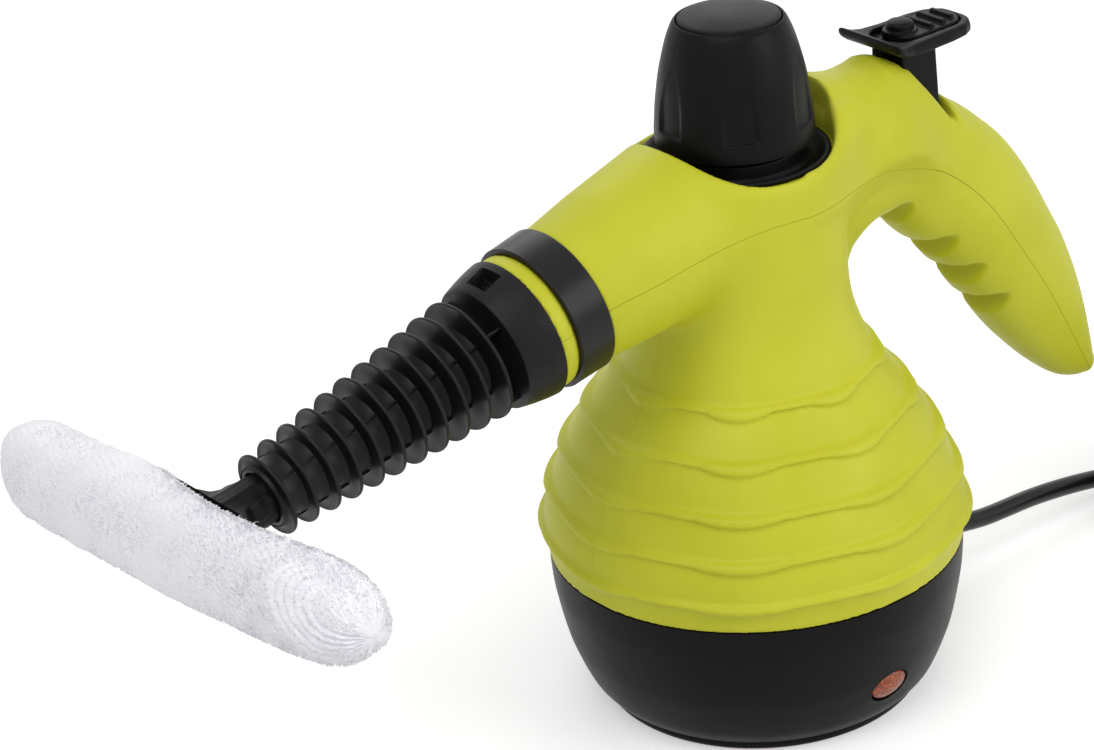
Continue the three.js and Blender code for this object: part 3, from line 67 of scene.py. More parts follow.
# Mesh making
def put_mesh(name, points, faces, smooth=True):
    """Makes an object of points in millimetres and faces of three or four corners each."""
    mesh = bpy.data.meshes.new(name)
    mesh.from_pydata((np.asarray(points, float) * MM).tolist(), [],
                     faces.tolist() if isinstance(faces, np.ndarray) else faces)
    mesh.polygons.foreach_set("use_smooth", [smooth] * len(mesh.polygons))
    mesh.update()
    piece = bpy.data.objects.new(name, mesh)
    bpy.context.collection.objects.link(piece)
    return piece


def grid_faces(rows, columns, closed=True):
    """Quads of a grid of rows by columns, each row's last column joined to its first where it is closed."""
    i, j = np.meshgrid(np.arange(rows - 1), np.arange(columns if closed else columns - 1), indexing="ij")
    beside, below = (j + 1) % columns, (i + 1) * columns
    return np.stack([i * columns + j, i * columns + beside, below + beside, below + j], -1).reshape(-1, 4)


def rounded(profile, radius=0.6, steps=3):
    """Profile of rows (radius, height) whose inner corners are cut by a short quadratic arc."""
    profile = np.asarray(profile, float)
    out = [profile[0]]
    for before, corner, after in zip(profile, profile[1:], profile[2:]):
        a, b = before - corner, after - corner
        la, lb = np.hypot(*a), np.hypot(*b)
        if la < 1e-6 or lb < 1e-6:
            continue
        start, end = corner + a / la * min(radius, la * 0.45), corner + b / lb * min(radius, lb * 0.45)
        for t in np.linspace(0, 1, steps + 1):
            out.append((1 - t) ** 2 * start + 2 * t * (1 - t) * corner + t ** 2 * end)
    return np.array(out + [profile[-1]])


def tidy(piece):
    """Merges doubled points, drops empty faces and turns the faces outward."""
    work = bmesh.new()
    work.from_mesh(piece.data)
    bmesh.ops.remove_doubles(work, verts=work.verts, dist=2e-6)
    bmesh.ops.dissolve_degenerate(work, edges=work.edges, dist=1e-7)
    bmesh.ops.recalc_face_normals(work, faces=work.faces)
    work.to_mesh(piece.data)
    work.free()
    piece.data.update()


# Finishes
class Link:
    """A shader socket that can stand in an expression."""

    def __init__(self, nodes, socket):
        self.nodes, self.socket = nodes, socket

    def join(self, operation, other, turned=False):
        """The operation on this socket and another value, or the other way about where it is turned."""
        pair = (other, self) if turned else (self, other)
        return self.nodes.node("ShaderNodeMath", {"operation": operation}, dict(enumerate(pair)))

    def __add__(self, other):
        return self.join("ADD", other)

    def __sub__(self, other):
        return self.join("SUBTRACT", other)

    def __rsub__(self, other):
        return self.join("SUBTRACT", other, True)

    def __mul__(self, other):
        return self.join("MULTIPLY", other)

    __radd__, __rmul__ = __add__, __mul__


class Nodes:
    """A node tree in which a node is made with its settings, then the values or links of its sockets."""

    def __init__(self, tree):
        self.tree = tree

    def node(self, kind, settings=None, values=None, output=0):
        """A new node's output."""
        made = self.tree.nodes.new(kind)
        for key, value in (settings or {}).items():
            setattr(made, key, value)
        for key, value in (values or {}).items():
            if isinstance(value, Link):
                self.tree.links.new(value.socket, made.inputs[key])
            else:
                made.inputs[key].default_value = value
        return Link(self, made.outputs[output])

    def seen(self):
        """1 on the camera's rays and on glossy and transmitted ones, 0 on the rays that only light the object."""
        path = self.node("ShaderNodeLightPath").socket.node
        rays = [Link(self, path.outputs[key]) for key in ("Is Camera Ray", "Is Glossy Ray", "Is Transmission Ray")]
        return rays[0].join("MAXIMUM", rays[1]).join("MAXIMUM", rays[2])


class Finish(Nodes):
    """A material built on one Principled shader."""

    def __init__(self, name, **fixed):
        self.material = bpy.data.materials.new(name)
        self.material.use_nodes = True
        super().__init__(self.material.node_tree)
        self.shader = self.tree.nodes["Principled BSDF"]
        self.place = self.node("ShaderNodeTexCoord", output="Object")
        for key, value in fixed.items():
            self.shader.inputs[key.replace("_", " ")].default_value = value

    def noise(self, scale, detail=2.0, stretch=None, rough=0.5):
        """Noise over the object's own coordinates, which a stretch scales along each axis."""
        where = self.place
        if stretch:
            where = self.node("ShaderNodeMapping", None, {"Vector": where, "Scale": stretch})
        return self.node("ShaderNodeTexNoise", None,
                         {"Vector": where, "Scale": scale, "Detail": detail, "Roughness": rough})

    def cells(self, scale):
        """Distance from the nearest of scattered points."""
        return self.node("ShaderNodeTexVoronoi", None, {"Vector": self.place, "Scale": scale}, "Distance")

    def span(self, value, low, high):
        """0 where value is low and 1 where it is high."""
        return self.node("ShaderNodeMapRange", None, {0: value, 1: low, 2: high})

    def blend(self, factor, first, second):
        """Colour that goes from first to second as the factor goes from 0 to 1."""
        return self.node("ShaderNodeMix", {"data_type": "RGBA"}, {0: factor, 6: first, 7: second}, 2)

    def bump(self, height, distance, strength):
        return self.node("ShaderNodeBump", None, {"Height": height, "Distance": distance, "Strength": strength})

    def feed(self, **links):
        """Links each named input of the shader."""
        for key, value in links.items():
            self.tree.links.new(value.socket, self.shader.inputs[key.replace("_", " ")])


def tint(code):
    """Linear colour of a six-figure web colour."""
    parts = [int(code[i:i + 2], 16) / 255 for i in (0, 2, 4)]
    return tuple(p / 12.92 if p <= 0.04045 else ((p + 0.055) / 1.055) ** 2.4 for p in parts) + (1.0,)


def moulded(name, low, high, roughness, grain, grain_depth, **fixed):
    """Moulded plastic: two close colours drifting over the surface, a fine spark grain, and rubbed patches."""
    finish = Finish(name, **fixed)
    drift = finish.span(finish.noise(26, 3), 0.35, 0.65)
    patch = finish.span(finish.noise(75, 4, rough=0.6), 0.42, 0.72)
    scuff = finish.span(finish.noise(900, 2, (1, 1, 0.08)), 0.62, 0.72)
    spark = finish.noise(grain, 2)
    finish.feed(Base_Color=finish.blend(drift, tint(low), tint(high)),
                Roughness=patch * 0.07 + scuff * 0.02 + spark * 0.05 + (roughness - 0.05),
                Normal=finish.bump(spark + finish.noise(grain * 0.3, 1) * 0.6, grain_depth, 0.6))
    return finish.material


def metal(name, low, high, roughness, stretch):
    """Worked metal: fine turned or drawn lines in roughness and height over a slight stain."""
    finish = Finish(name, Metallic=1.0)
    lines = finish.noise(700, 3, stretch)
    stain = finish.span(finish.noise(55, 4), 0.38, 0.7)
    finish.feed(Base_Color=finish.blend(stain, tint(low), tint(high)),
                Roughness=lines * 0.18 + stain * 0.08 + (roughness - 0.12),
                Normal=finish.bump(lines, 0.00004, 0.4))
    return finish.material


def cord_finish():
    """Glossy cord sheath: near-black with a slow drift and faint lengthwise drawing marks."""
    finish = Finish("cord_sheath", Specular_IOR_Level=0.3)
    drift = finish.span(finish.noise(40, 2), 0.35, 0.65)
    marks = finish.noise(1400, 2)
    finish.feed(Base_Color=finish.blend(drift, tint("0D0D0E"), tint("151516")),
                Roughness=marks * 0.1 + drift * 0.05 + 0.2, Normal=finish.bump(marks, 0.00003, 0.5))
    return finish.material


def lens_finish():
    """Amber lens: a pebbled orange moulding, with painted shade darkening its colour in the grooves between its
    facets.
    """
    finish = Finish("amber_lens", Specular_IOR_Level=0.4, Coat_Roughness=0.1, Coat_Weight=0.15)
    facets = finish.cells(900)
    edge = finish.span(facets, 0.15, 0.6)
    # Painted shade: the colour darkens towards each facet's edge, in the grooves between the facets.
    finish.feed(Base_Color=finish.blend(edge, tint("C0591F"), tint("863710")),
                Roughness=edge * 0.15 + 0.12, Normal=finish.bump(1.0 - facets, 0.0004, 0.8))
    return finish.material


def cloth_finish():
    """Looped white cloth: small bright loops with painted shade greying the gaps between them, a soft sheen, and a
    faint painted glow from a small white emission.
    """
    # The small white emission is a painted glow that lightens the whole cloth.
    finish = Finish("white_cloth", Roughness=0.95, Specular_IOR_Level=0.15, Sheen_Weight=0.35, Sheen_Roughness=0.5,
                    Emission_Color=(0.93, 0.93, 1, 1), Emission_Strength=0.07)
    loops = finish.cells(1250)
    shade = finish.span(loops, 0.25, 0.75)
    drift = finish.span(finish.noise(60, 3), 0.3, 0.7)
    # Painted shade: the colour greys in the gaps between the loops.
    finish.feed(Base_Color=finish.blend(shade * 0.55 + drift * 0.25, tint("FCFCFF"), tint("ECEBF3")),
                Normal=finish.bump(finish.noise(1900, 3) - loops * 0.9, 0.00016, 0.5))
    return finish.material


lime_plastic = moulded("lime_plastic", "C3C42B", "CBCC35", 0.48, 2300, 0.00006, Specular_IOR_Level=0.25)
satin_black = moulded("satin_black", "0C0B0B", "110F10", 0.42, 2000, 0.00007, Specular_IOR_Level=0.1)
# The extension's black is painted lighter than the satin black: painted light on a part that faces the lamps.
nozzle_black_with_painted_light = moulded("nozzle_black_with_painted_light", "121213", "181719", 0.4, 1700, 0.00006, Specular_IOR_Level=0.16)
# The nose ring's black is glossier, and it is also painted lighter than the satin black: painted light on a part that
# faces the lamps.
gloss_black_with_painted_light = moulded("gloss_black_with_painted_light", "171618", "1C1B1D", 0.32, 900, 0.00002, Specular_IOR_Level=0.2)
soft_rubber = moulded("soft_rubber", "161617", "1D1D1E", 0.66, 1500, 0.00012, Specular_IOR_Level=0.2)
white_nylon = moulded("white_nylon", "DAD7CC", "E8E5DC", 0.5, 1400, 0.00006)
brown_sleeve = moulded("brown_sleeve", "54301F", "623A26", 0.5, 1600, 0.00004)
blue_sleeve = moulded("blue_sleeve", "27477F", "2E55A0", 0.5, 1600, 0.00004)
cast_aluminium = metal("cast_aluminium", "A9ABAE", "C2C4C7", 0.42, (1, 1, 1))
bright_steel = metal("bright_steel", "A8AAAD", "CBCDD0", 0.28, (1, 1, 0.05))
turned_brass = metal("turned_brass", "A8853A", "CCA954", 0.3, (0.05, 0.05, 1))
cord_sheath, amber_lens, white_cloth = cord_finish(), lens_finish(), cloth_finish()


# Making pieces
def dress(piece, material):
    """Gives a piece this material in place of any it has."""
    piece.data.materials.clear()
    piece.data.materials.append(material)


def finish_piece(piece, finish, replaced=(), body="housing", angle=40, merge=True):
    """Merges doubles, marks sharp edges, dresses the piece, hangs it on its body and hides the solids it stands for."""
    if merge:
        tidy(piece)
    piece.data.set_sharp_from_angle(angle=np.radians(angle))
    dress(piece, finish)
    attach(piece, body)
    if replaced:
        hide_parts(*([replaced] if isinstance(replaced, str) else replaced))
    return piece


def turned(name, profile, turns, finish, replaced, body="housing", place=None, wave=None, slot=None):
    """Surface of revolution about Z of rows of radius and height, over so many even turns or over the turns given.
    wave(turn, radius, height) may move its rows and place(points) sets it in place."""
    profile = np.asarray(profile, float)
    if isinstance(turns, int):
        turns = TAU * np.arange(turns) / turns
    radius = np.repeat(profile[:, :1], len(turns), 1)
    height = np.repeat(profile[:, 1:2], len(turns), 1)
    if wave:
        radius, height = wave(turns[None, :], radius, height)
    points = np.stack([radius * np.cos(turns), radius * np.sin(turns), height], -1).reshape(-1, 3)
    piece = put_mesh(name, place(points) if place else points, grid_faces(len(profile), len(turns)))
    return finish_piece(piece, finish, replaced, body)


def softened(node, width, finish, body="housing"):
    """A merged copy of a node's solid with its edges eased by a small bevel."""
    piece = bpy.data.objects.new(node + "_eased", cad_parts[node].data.copy())
    bpy.context.collection.objects.link(piece)
    finish_piece(piece, finish, node, body, angle=34)
    bevel = piece.modifiers.new("eased_edges", "BEVEL")
    bevel.width, bevel.segments = width * MM, 2
    bevel.limit_method, bevel.angle_limit = "ANGLE", np.radians(38)
    return piece


def dense(low, high, count, *spots):
    """Even steps from low to high with extra close steps in each (from, to, step) spot."""
    return np.unique(np.round(np.concatenate(
        [np.linspace(low, high, count)] + [np.arange(a, b, step) for a, b, step in spots]), 6))


def soft_step(value, edge, width):
    """0 below edge and 1 above it, with a smooth ramp of that width."""
    t = np.clip((value - edge) / width + 0.5, 0, 1)
    return t * t * (3 - 2 * t)


def catmull(rows, count):
    """Uniform Catmull-Rom curve through rows, sampled at count even steps of the rows' own numbering."""
    rows = np.asarray(rows, float)
    if rows.ndim == 1:
        rows = rows[:, None]
    padded = np.concatenate([2 * rows[:1] - rows[1:2], rows, 2 * rows[-1:] - rows[-2:-1]])
    t = np.linspace(0, len(rows) - 1, count)
    i = np.minimum(t.astype(int), len(rows) - 2)
    f = (t - i)[:, None]
    a, b, c, d = padded[i], padded[i + 1], padded[i + 2], padded[i + 3]
    return 0.5 * (2 * b + (c - a) * f + (2 * a - 5 * b + 4 * c - d) * f ** 2 + (3 * b - a - 3 * c + d) * f ** 3)


def wall_rows(outline, heights, count):
    """Rows of radius and height at the heights given, on the curve through an outline sampled at count steps."""
    return np.stack([np.interp(heights, *catmull(outline, count)[:, ::-1].T), heights], 1)


# The nozzle's axis: its direction and its start in the XZ plane
TUBE_AXIS = (np.cos(np.radians(12)), -np.sin(np.radians(12)))
TUBE_START = (72.0, 160.0)


def to_nozzle(points):
    """Points from the nozzle's own frame (Z along the axis, -X up) to the object's frame."""
    points = np.asarray(points, float)
    along, up = points[:, 2], -points[:, 0]
    c, s = TUBE_AXIS[0], -TUBE_AXIS[1]
    return np.stack([TUBE_START[0] + along * c + up * s, points[:, 1], TUBE_START[1] - along * s + up * c], 1)


# Cord: straight out of the base, down to the floor, round its coil and to the plug
CORD_RADIUS = 3.2
CORD_HEIGHT = 18.3
SLEEVE_END = -87.0
PLUG_LIFT = 0.3
COIL = {"x": -205.0, "inner": 28.0, "pitch": 8.0, "layer": 7.0, "layers": 4, "turns": 2.125, "floor": 4.4}
COIL_OUTER = COIL["inner"] + COIL["pitch"] * COIL["turns"]


def coil_line(per_turn=48):
    """Flat spirals wound alternately inward and outward, each half a turn above the last."""
    turn, radius, height = [], [], []
    for layer in range(COIL["layers"]):
        outward = layer % 2 == 1
        share = np.linspace(0, 1, round(COIL["turns"] * per_turn) + 1)
        done = layer * (COIL["turns"] + 0.5)
        turn.append(done + share * COIL["turns"])
        radius.append(COIL["inner"] + (COIL_OUTER - COIL["inner"]) * (share if outward else 1 - share))
        height.append(np.full(share.shape, COIL["floor"] + COIL["layer"] * layer))
        if layer + 1 < COIL["layers"]:
            climb = np.arange(1, per_turn // 2) / (per_turn // 2)
            turn.append(done + COIL["turns"] + 0.5 * climb)
            radius.append(np.full(climb.shape, COIL_OUTER if outward else COIL["inner"]))
            height.append(COIL["floor"] + COIL["layer"] * (layer + climb))
    turn, radius, height = (np.concatenate(v) for v in (turn, radius, height))
    around = np.pi / 2 + TAU * turn
    return np.stack([COIL["x"] + radius * np.cos(around), COIL_OUTER - radius * np.sin(around), height], 1)


def route(rows, count):
    """Centripetal Catmull-Rom curve through rows, evenly sampled in its own parameter."""
    rows = np.asarray(rows, float)
    padded = np.concatenate([2 * rows[:1] - rows[1:2], rows, 2 * rows[-1:] - rows[-2:-1]])
    knots = np.concatenate([[0], np.cumsum(np.linalg.norm(np.diff(padded, axis=0), axis=1) ** 0.5)])
    t = np.linspace(knots[1], knots[-2], count)
    i = np.clip(np.searchsorted(knots, t, "right") - 1, 1, len(rows) - 1)
    level = [padded[i + n] for n in (-1, 0, 1, 2)]
    k = [knots[i + n][:, None] for n in (-1, 0, 1, 2)]
    t = t[:, None]

    def mixed(a, b, first, last):
        """Mean of a and b by where t lies between two knots."""
        return (k[last] - t) / (k[last] - k[first]) * a + (t - k[first]) / (k[last] - k[first]) * b
    level = [mixed(level[n], level[n + 1], n, n + 1) for n in range(3)]
    level = [mixed(level[n], level[n + 1], n, n + 2) for n in range(2)]
    return mixed(*level, 1, 2)


def tube_along(line, sides=14):
    """The cord's round tube: rings carried along a line, each square to the line and untwisted against the floor."""
    run = np.gradient(line, axis=0)
    run /= np.linalg.norm(run, axis=1)[:, None]
    side = np.cross([0, 0, 1.0], run)
    side /= np.linalg.norm(side, axis=1)[:, None]
    up = np.cross(run, side)
    turn = (TAU * np.arange(sides) / sides)[None, :, None]
    points = line[:, None] + CORD_RADIUS * (side[:, None] * np.cos(turn) + up[:, None] * np.sin(turn))
    points = np.concatenate([points.reshape(-1, 3), line[:1], line[-1:]])
    faces = grid_faces(len(line), sides)[:, ::-1].tolist()
    end = len(line) * sides
    last = end - sides
    faces += [[end, i, (i + 1) % sides] for i in range(sides)]
    faces += [[end + 1, last + (i + 1) % sides, last + i] for i in range(sides)]
    return points, faces


def make_cord():
    """Cord from inside the base to the plug, and its line, length and plug's end."""
    coil = coil_line()
    start, end = coil[0] + (6.4, 0, 0), coil[-1] - (6.4, 0, 0)
    plug_end = end[0] - 52
    drop = [(x, 0, CORD_HEIGHT) for x in (-38.3, -48, -60, -74, -89)]
    drop += [(-104, 0, 16), (-127, 0, 14.6), (-143, 0, 12.6), (-156, 0, 10.3), (-170, 0, 7.4), (-184, 0, 5.4)]
    free = route(drop + [start + (6.4, 0, 0), start], 90)
    tail = route([end, end - (6.4, 0, 0), end - (18, 0, 0.8), (end[0] - 34, 0, 19.8),
                  (plug_end + 6.4, 0, CORD_HEIGHT + PLUG_LIFT), (plug_end + 0.3, 0, CORD_HEIGHT + PLUG_LIFT)], 36)
    leaves = np.argmax(free[:, 0] <= SLEEVE_END)
    line = np.concatenate([[(SLEEVE_END, 0, CORD_HEIGHT)], free[leaves:-1], coil[:1] + (3.2, 0, 0), coil,
                           coil[-1:] - (3.2, 0, 0), tail])
    inside = np.concatenate([free[:leaves], [(SLEEVE_END + 0.2, 0, CORD_HEIGHT)]])
    finish_piece(put_mesh("cord_inside", *tube_along(inside)), cord_sheath, merge=False)
    cord = put_mesh("cord_line", *tube_along(line))
    finish_piece(cord, cord_sheath, ("power_cord", "cord_coil", "cord_tail"), merge=False)
    length = np.linalg.norm(np.diff(line, axis=0), axis=1).sum()
    return cord, line * MM, length * MM, plug_end


cord_piece, cord_path, cord_length, PLUG_END = make_cord()


def along_back(points, y=0, lift=0):
    """Points of a piece turned about Z laid along the X axis at the cord's height, Z becoming X."""
    return np.stack([points[:, 2], points[:, 1] + y, CORD_HEIGHT + lift - points[:, 0]], 1)


def make_relief():
    """Strain relief: a flange outside the wall, then a taper with six rings cut in it."""
    taper = []
    for k in range(6):
        x, r = -70.6 - 2.55 * k, 6.5 - 0.28 * k
        taper += [(r, x), (r - 0.1, x - 1.2), (r - 1.05, x - 1.3), (r - 1.1, x - 2.3), (r - 0.24, x - 2.4)]
    profile = [(3.3, -59.5), (7.6, -59.5), (7.7, -61.2), (6.3, -61.6), (6.3, -64.4), (8.3, -64.7), (8.4, -66.3),
               (7.9, -67.1), (6.7, -67.4), (6.55, -68.5), *taper, (4.7, -86.6), (4.4, -87), (3.35, -87)]
    turned("strain_relief_sleeve", rounded(profile, 0.25, 2), 48, soft_rubber, "strain_relief", place=along_back)


make_relief()


def make_plug():
    """Round two-pin plug: a boot with rings, a waisted grip and a wide front flange, by distance from its end."""
    e = PLUG_END
    body = [(3.3, 0), (4.9, 0.2), (5.1, 2), (4.5, 2.3), (4.6, 4), (5.3, 4.3), (5.45, 6.6), (4.8, 6.9), (4.9, 8.6),
            (5.7, 8.9), (6, 12.5), (6.3, 14.2), (9, 15), (11.3, 16.6), (12, 19.5), (11.5, 25), (11.4, 31),
            (12.6, 35.2), (16.6, 38.6), (18.4, 40.2), (18.5, 47), (17.6, 48), (0.001, 48)]
    pin = [(0.001, 67), (1.5, 66.9), (2.4, 64.8), (2.4, 40.3), (0.001, 40.3)]
    body, pin = ([(radius, e - down) for radius, down in rows] for rows in (body, pin))

    def grip(turn, radius, height):
        """Two flats with finger grooves on the plug's waist."""
        waist = soft_step(e - height, 17, 3) * (1 - soft_step(e - height, 36, 3))
        flat = 9.2 / np.maximum(np.abs(np.sin(turn)), 0.3)
        groove = 0.35 * np.sin((e - height) * 2.1) ** 2
        return radius + (np.minimum(radius, flat - groove) - radius) * waist, height
    rows = rounded(body, 0.5, 3)
    fine = np.concatenate([np.linspace(a, b, max(2, int(abs(a[1] - b[1]) / 0.5)), endpoint=False)
                           for a, b in zip(rows, rows[1:])] + [rows[-1:]])
    pieces = [turned("plug_grip", fine, 72, satin_black, "plug_body", wave=grip,
                     place=lambda p: along_back(p, 0, PLUG_LIFT))]
    for number, y in ((1, -9.5), (2, 9.5)):
        pieces.append(turned(f"plug_pin_round_{number}", rounded(pin, 0.4, 3), 28, bright_steel, f"plug_pin_{number}",
                             place=lambda p: along_back(p, y, PLUG_LIFT), slot="plug_pin_metal"))
    return pieces


plug_pieces = make_plug()
tie_piece = softened("cord_tie", 0.3, soft_rubber)
plug_pieces + [tie_piece]


# Housing: one blended skin for the body, the nozzle tube and the handle
RIB_HEIGHTS = (61.5, 75, 88.4, 102.3, 116)
BODY = np.array([(67.3, 50), (67.5, 56), (68.3, 61.5), (67.6, 68), (65.2, 75), (62.6, 82), (59.6, 88.4), (55.4, 96),
                 (51.1, 102.3), (45.8, 109.5), (41.1, 116), (38.7, 121.5), (36.4, 127.5), (34.4, 135), (33.5, 143),
                 (33.3, 152), (33.3, 240)], float)
TUBE = np.array([(27.5, -75), (27.2, -55), (26.8, -41), (25.2, -20), (22.9, -0.6), (22.6, -0.3), (21.4, 0.2),
                 (21.4, 12.5), (22.3, 13.1), (22.3, 18)], float)
HANDLE_TOP = np.array([(-12, 201.5), (-20, 201.5), (-32, 201), (-40, 199), (-50, 195.8), (-60, 192.6), (-70, 188),
                       (-80, 182), (-88, 177.3), (-94, 173.3), (-101, 167.4), (-109, 160), (-116, 151.5),
                       (-123, 141), (-130, 129), (-137, 116.5), (-144, 100.5), (-148, 87.5), (-151.6, 73.6),
                       (-153.6, 64.5)], float)
HANDLE_LOW = np.array([(-12, 131), (-24, 131), (-34, 130), (-41, 138.5), (-48, 144), (-55, 145.8), (-61, 143),
                       (-68, 135.5), (-74, 129.6), (-80, 123.4), (-86, 116.4), (-91.5, 109.4), (-97, 102),
                       (-103, 94.5), (-110, 85.6), (-118, 76.8), (-127, 68), (-137, 60), (-144.5, 56.6),
                       (-150.3, 55.6)], float)
HANDLE_HALF = np.array([14, 13.8, 13.4, 13.8, 14.6, 15.4, 15.9, 16.2, 16.5, 16.8, 16.9, 16.8, 16.5, 15.9, 15, 13.8,
                        11.9, 10.2, 8.1, 6.2], float)
PAD = np.array([(-44, 194), (-48, 195.8), (-52, 197.6), (-57, 199.6), (-60, 199.2), (-64, 198), (-66, 197.3),
                (-72, 191.5), (-80, 182.5), (-87, 174), (-93, 166)], float)
SHELF = np.array([(-83.7, 173), (-80, 175.6), (-73, 185.8), (-66, 195.6), (-61.3, 199.5)], float)
NOTCHES = np.array([(-58.2, 144.3), (-76.4, 128.5), (-88.6, 114.8), (-99.7, 99.7)], float)


def smooth_join(a, b, k):
    """Smaller of a and b, rounded over k where they meet."""
    h = np.clip(0.5 + 0.5 * (b - a) / k, 0, 1)
    return b + (a - b) * h - k * h * (1 - h)


def smooth_cut(a, b, k):
    """Larger of a and b, rounded over k where they meet."""
    return -smooth_join(-a, -b, k)


STATIONS = 400
TOP_LINE, LOW_LINE = catmull(HANDLE_TOP, STATIONS), catmull(HANDLE_LOW, STATIONS)
HALF_LINE = catmull(HANDLE_HALF, STATIONS)[:, 0]
MIDDLE = (TOP_LINE + LOW_LINE) / 2
ACROSS = TOP_LINE - LOW_LINE
DEPTH_LINE = np.hypot(ACROSS[:, 0], ACROSS[:, 1]) / 2
ACROSS = ACROSS / (2 * DEPTH_LINE[:, None])
ALONG = np.stack([ACROSS[:, 1], -ACROSS[:, 0]], 1)
ALONG = ALONG * np.sign((ALONG * np.gradient(MIDDLE, axis=0)).sum(1))[:, None]
LOW_WAY = np.gradient(LOW_LINE, axis=0)
LOW_WAY /= np.hypot(*LOW_WAY.T)[:, None]
NOTCH_WAY = [LOW_WAY[np.argmin(np.hypot(*(LOW_LINE - n).T))] for n in NOTCHES]
FINE_BODY = np.concatenate([catmull(BODY[:-1], 300), BODY[-1:]])
FINE_SLOPE = np.concatenate([np.gradient(FINE_BODY[:-1, 0], FINE_BODY[:-1, 1]), [0]])


def handle_section(x, z):
    """Where (x, z) lies in the swept handle: place across and along its section, and half depth and half width
    there. The section is the one whose plane passes through the point."""
    all_x, all_z = np.ravel(x), np.ravel(z)
    near = all_x < 4
    flat_x, flat_z = all_x[near], all_z[near]
    coarse = np.arange(0, STATIONS, 5)
    best = np.zeros(flat_x.shape, int)
    for start in range(0, flat_x.size, 40000):
        s = slice(start, start + 40000)
        dx, dz = flat_x[s, None] - MIDDLE[coarse, 0], flat_z[s, None] - MIDDLE[coarse, 1]
        along = dx * ALONG[coarse, 0] + dz * ALONG[coarse, 1]
        across = dx * ACROSS[coarse, 0] + dz * ACROSS[coarse, 1]
        excess = np.maximum(np.abs(across) - DEPTH_LINE[coarse], 0)
        best[s] = coarse[np.argmin(np.abs(along) + excess, 1)]
    t = best.astype(float)

    def at(values, place=None):
        """Values at the section found so far, or at another place."""
        return np.interp(t if place is None else place, np.arange(STATIONS), values)

    def from_middle(way):
        """Distance of each point from its section's middle along a direction that turns with the section."""
        return (flat_x - at(MIDDLE[:, 0])) * at(way[:, 0]) + (flat_z - at(MIDDLE[:, 1])) * at(way[:, 1])
    for _ in range(8):
        ahead, behind = np.minimum(t + 1, STATIONS - 1), np.maximum(t - 1, 0)
        step = np.hypot(*(at(line, ahead) - at(line, behind) for line in MIDDLE.T))
        t = np.clip(t + from_middle(ALONG) / np.maximum(step / np.maximum(ahead - behind, 1), 0.15) * 0.8,
                    0, STATIONS - 1)
    found = []
    for values, elsewhere in ((from_middle(ACROSS), 80), (from_middle(ALONG), -80), (at(DEPTH_LINE), 20),
                              (at(HALF_LINE), 14)):
        full = np.full(all_x.shape, float(elsewhere))
        full[near] = values
        found.append(full.reshape(np.shape(x)))
    return found


def body_field(x, y, z):
    """Ribbed body of revolution: radius less the profile's, with each rib a bead with eight lens-shaped bulges."""
    radius = np.hypot(x, y)
    turn = np.arctan2(y, x)
    profile = np.interp(z, FINE_BODY[:, 1], FINE_BODY[:, 0])
    slope = np.interp(z, FINE_BODY[:, 1], FINE_SLOPE)
    wave = np.cos(8 * turn)
    lens = np.clip((wave + 0.25) / 1.25, 0, 1) ** 0.8
    for height in RIB_HEIGHTS:
        d = z - (height - 0.4 * wave)
        above = np.exp(-np.abs(d / 1.3) ** 3.2)
        below = np.exp(-np.abs(d / (1.1 + 1.3 * lens)) ** 4)
        profile = profile + (1.6 + 0.6 * lens) * np.where(d > 0, above, below)
    return smooth_cut((radius - profile) / np.sqrt(1 + slope ** 2), z - 187, 6)


def tube_field(x, y, z):
    """Nozzle tube: distance from its pitched axis less the radius along it, ended by a flat face; and its mouth."""
    along = (x - TUBE_START[0]) * TUBE_AXIS[0] + (z - TUBE_START[1]) * TUBE_AXIS[1]
    up = -(x - TUBE_START[0]) * TUBE_AXIS[1] + (z - TUBE_START[1]) * TUBE_AXIS[0]
    radius = np.hypot(up, y)
    wall = radius - np.interp(along, TUBE[:, 1], TUBE[:, 0])
    shape = smooth_cut(wall, along - 18, 0.5)
    return smooth_cut(shape, -(along + 75), 2), np.maximum(radius - 17.4, 15.9 - along)


def handle_field(x, y, z, section):
    """Handle: oval sections of power 2.3 swept between the top and the underside lines, with finger hollows."""
    across, along, depth, half = section
    half = half + 8.5 * soft_step(x, -64, 36) * soft_step(across / depth, -0.1, 0.6)
    low_side = np.clip(-across / depth, 0, 1)
    spread = 1.8 + 18 * (1 - low_side) ** 2
    hollow = sum(np.exp(-np.sqrt(((x - n[0]) * way[0] + (z - n[1]) * way[1]) ** 2 + spread) / 3.4)
                 for n, way in zip(NOTCHES, NOTCH_WAY))
    size = ((np.abs(across) / depth) ** 2.3 + (np.abs(y) / half) ** 2.3 + 1e-9) ** (1 / 2.3)
    field = (size - 1) * np.minimum(depth, half)
    beyond = np.maximum(along, 0)
    end = 5 * (np.sqrt(size ** 2 + (beyond / 2.4) ** 2) - 1)
    field = np.where(beyond > 0.02, end, np.maximum(field, -along - 0.3))
    return field + 1.6 * hollow * low_side ** 2.6


def pad_field(x, y, z):
    """Raised pad round the trigger's slot: below its crest line and between its soft sides."""
    top = z - np.interp(-x, -PAD[:, 0], PAD[:, 1]) + 0.026 * y ** 2
    shape = smooth_cut(top * 0.8, np.abs(y) - 12.6, 6)
    shape = smooth_cut(shape, x + 46, 1.5)
    return smooth_cut(smooth_cut(shape, -(x + 93), 4), 165 - z, 2)


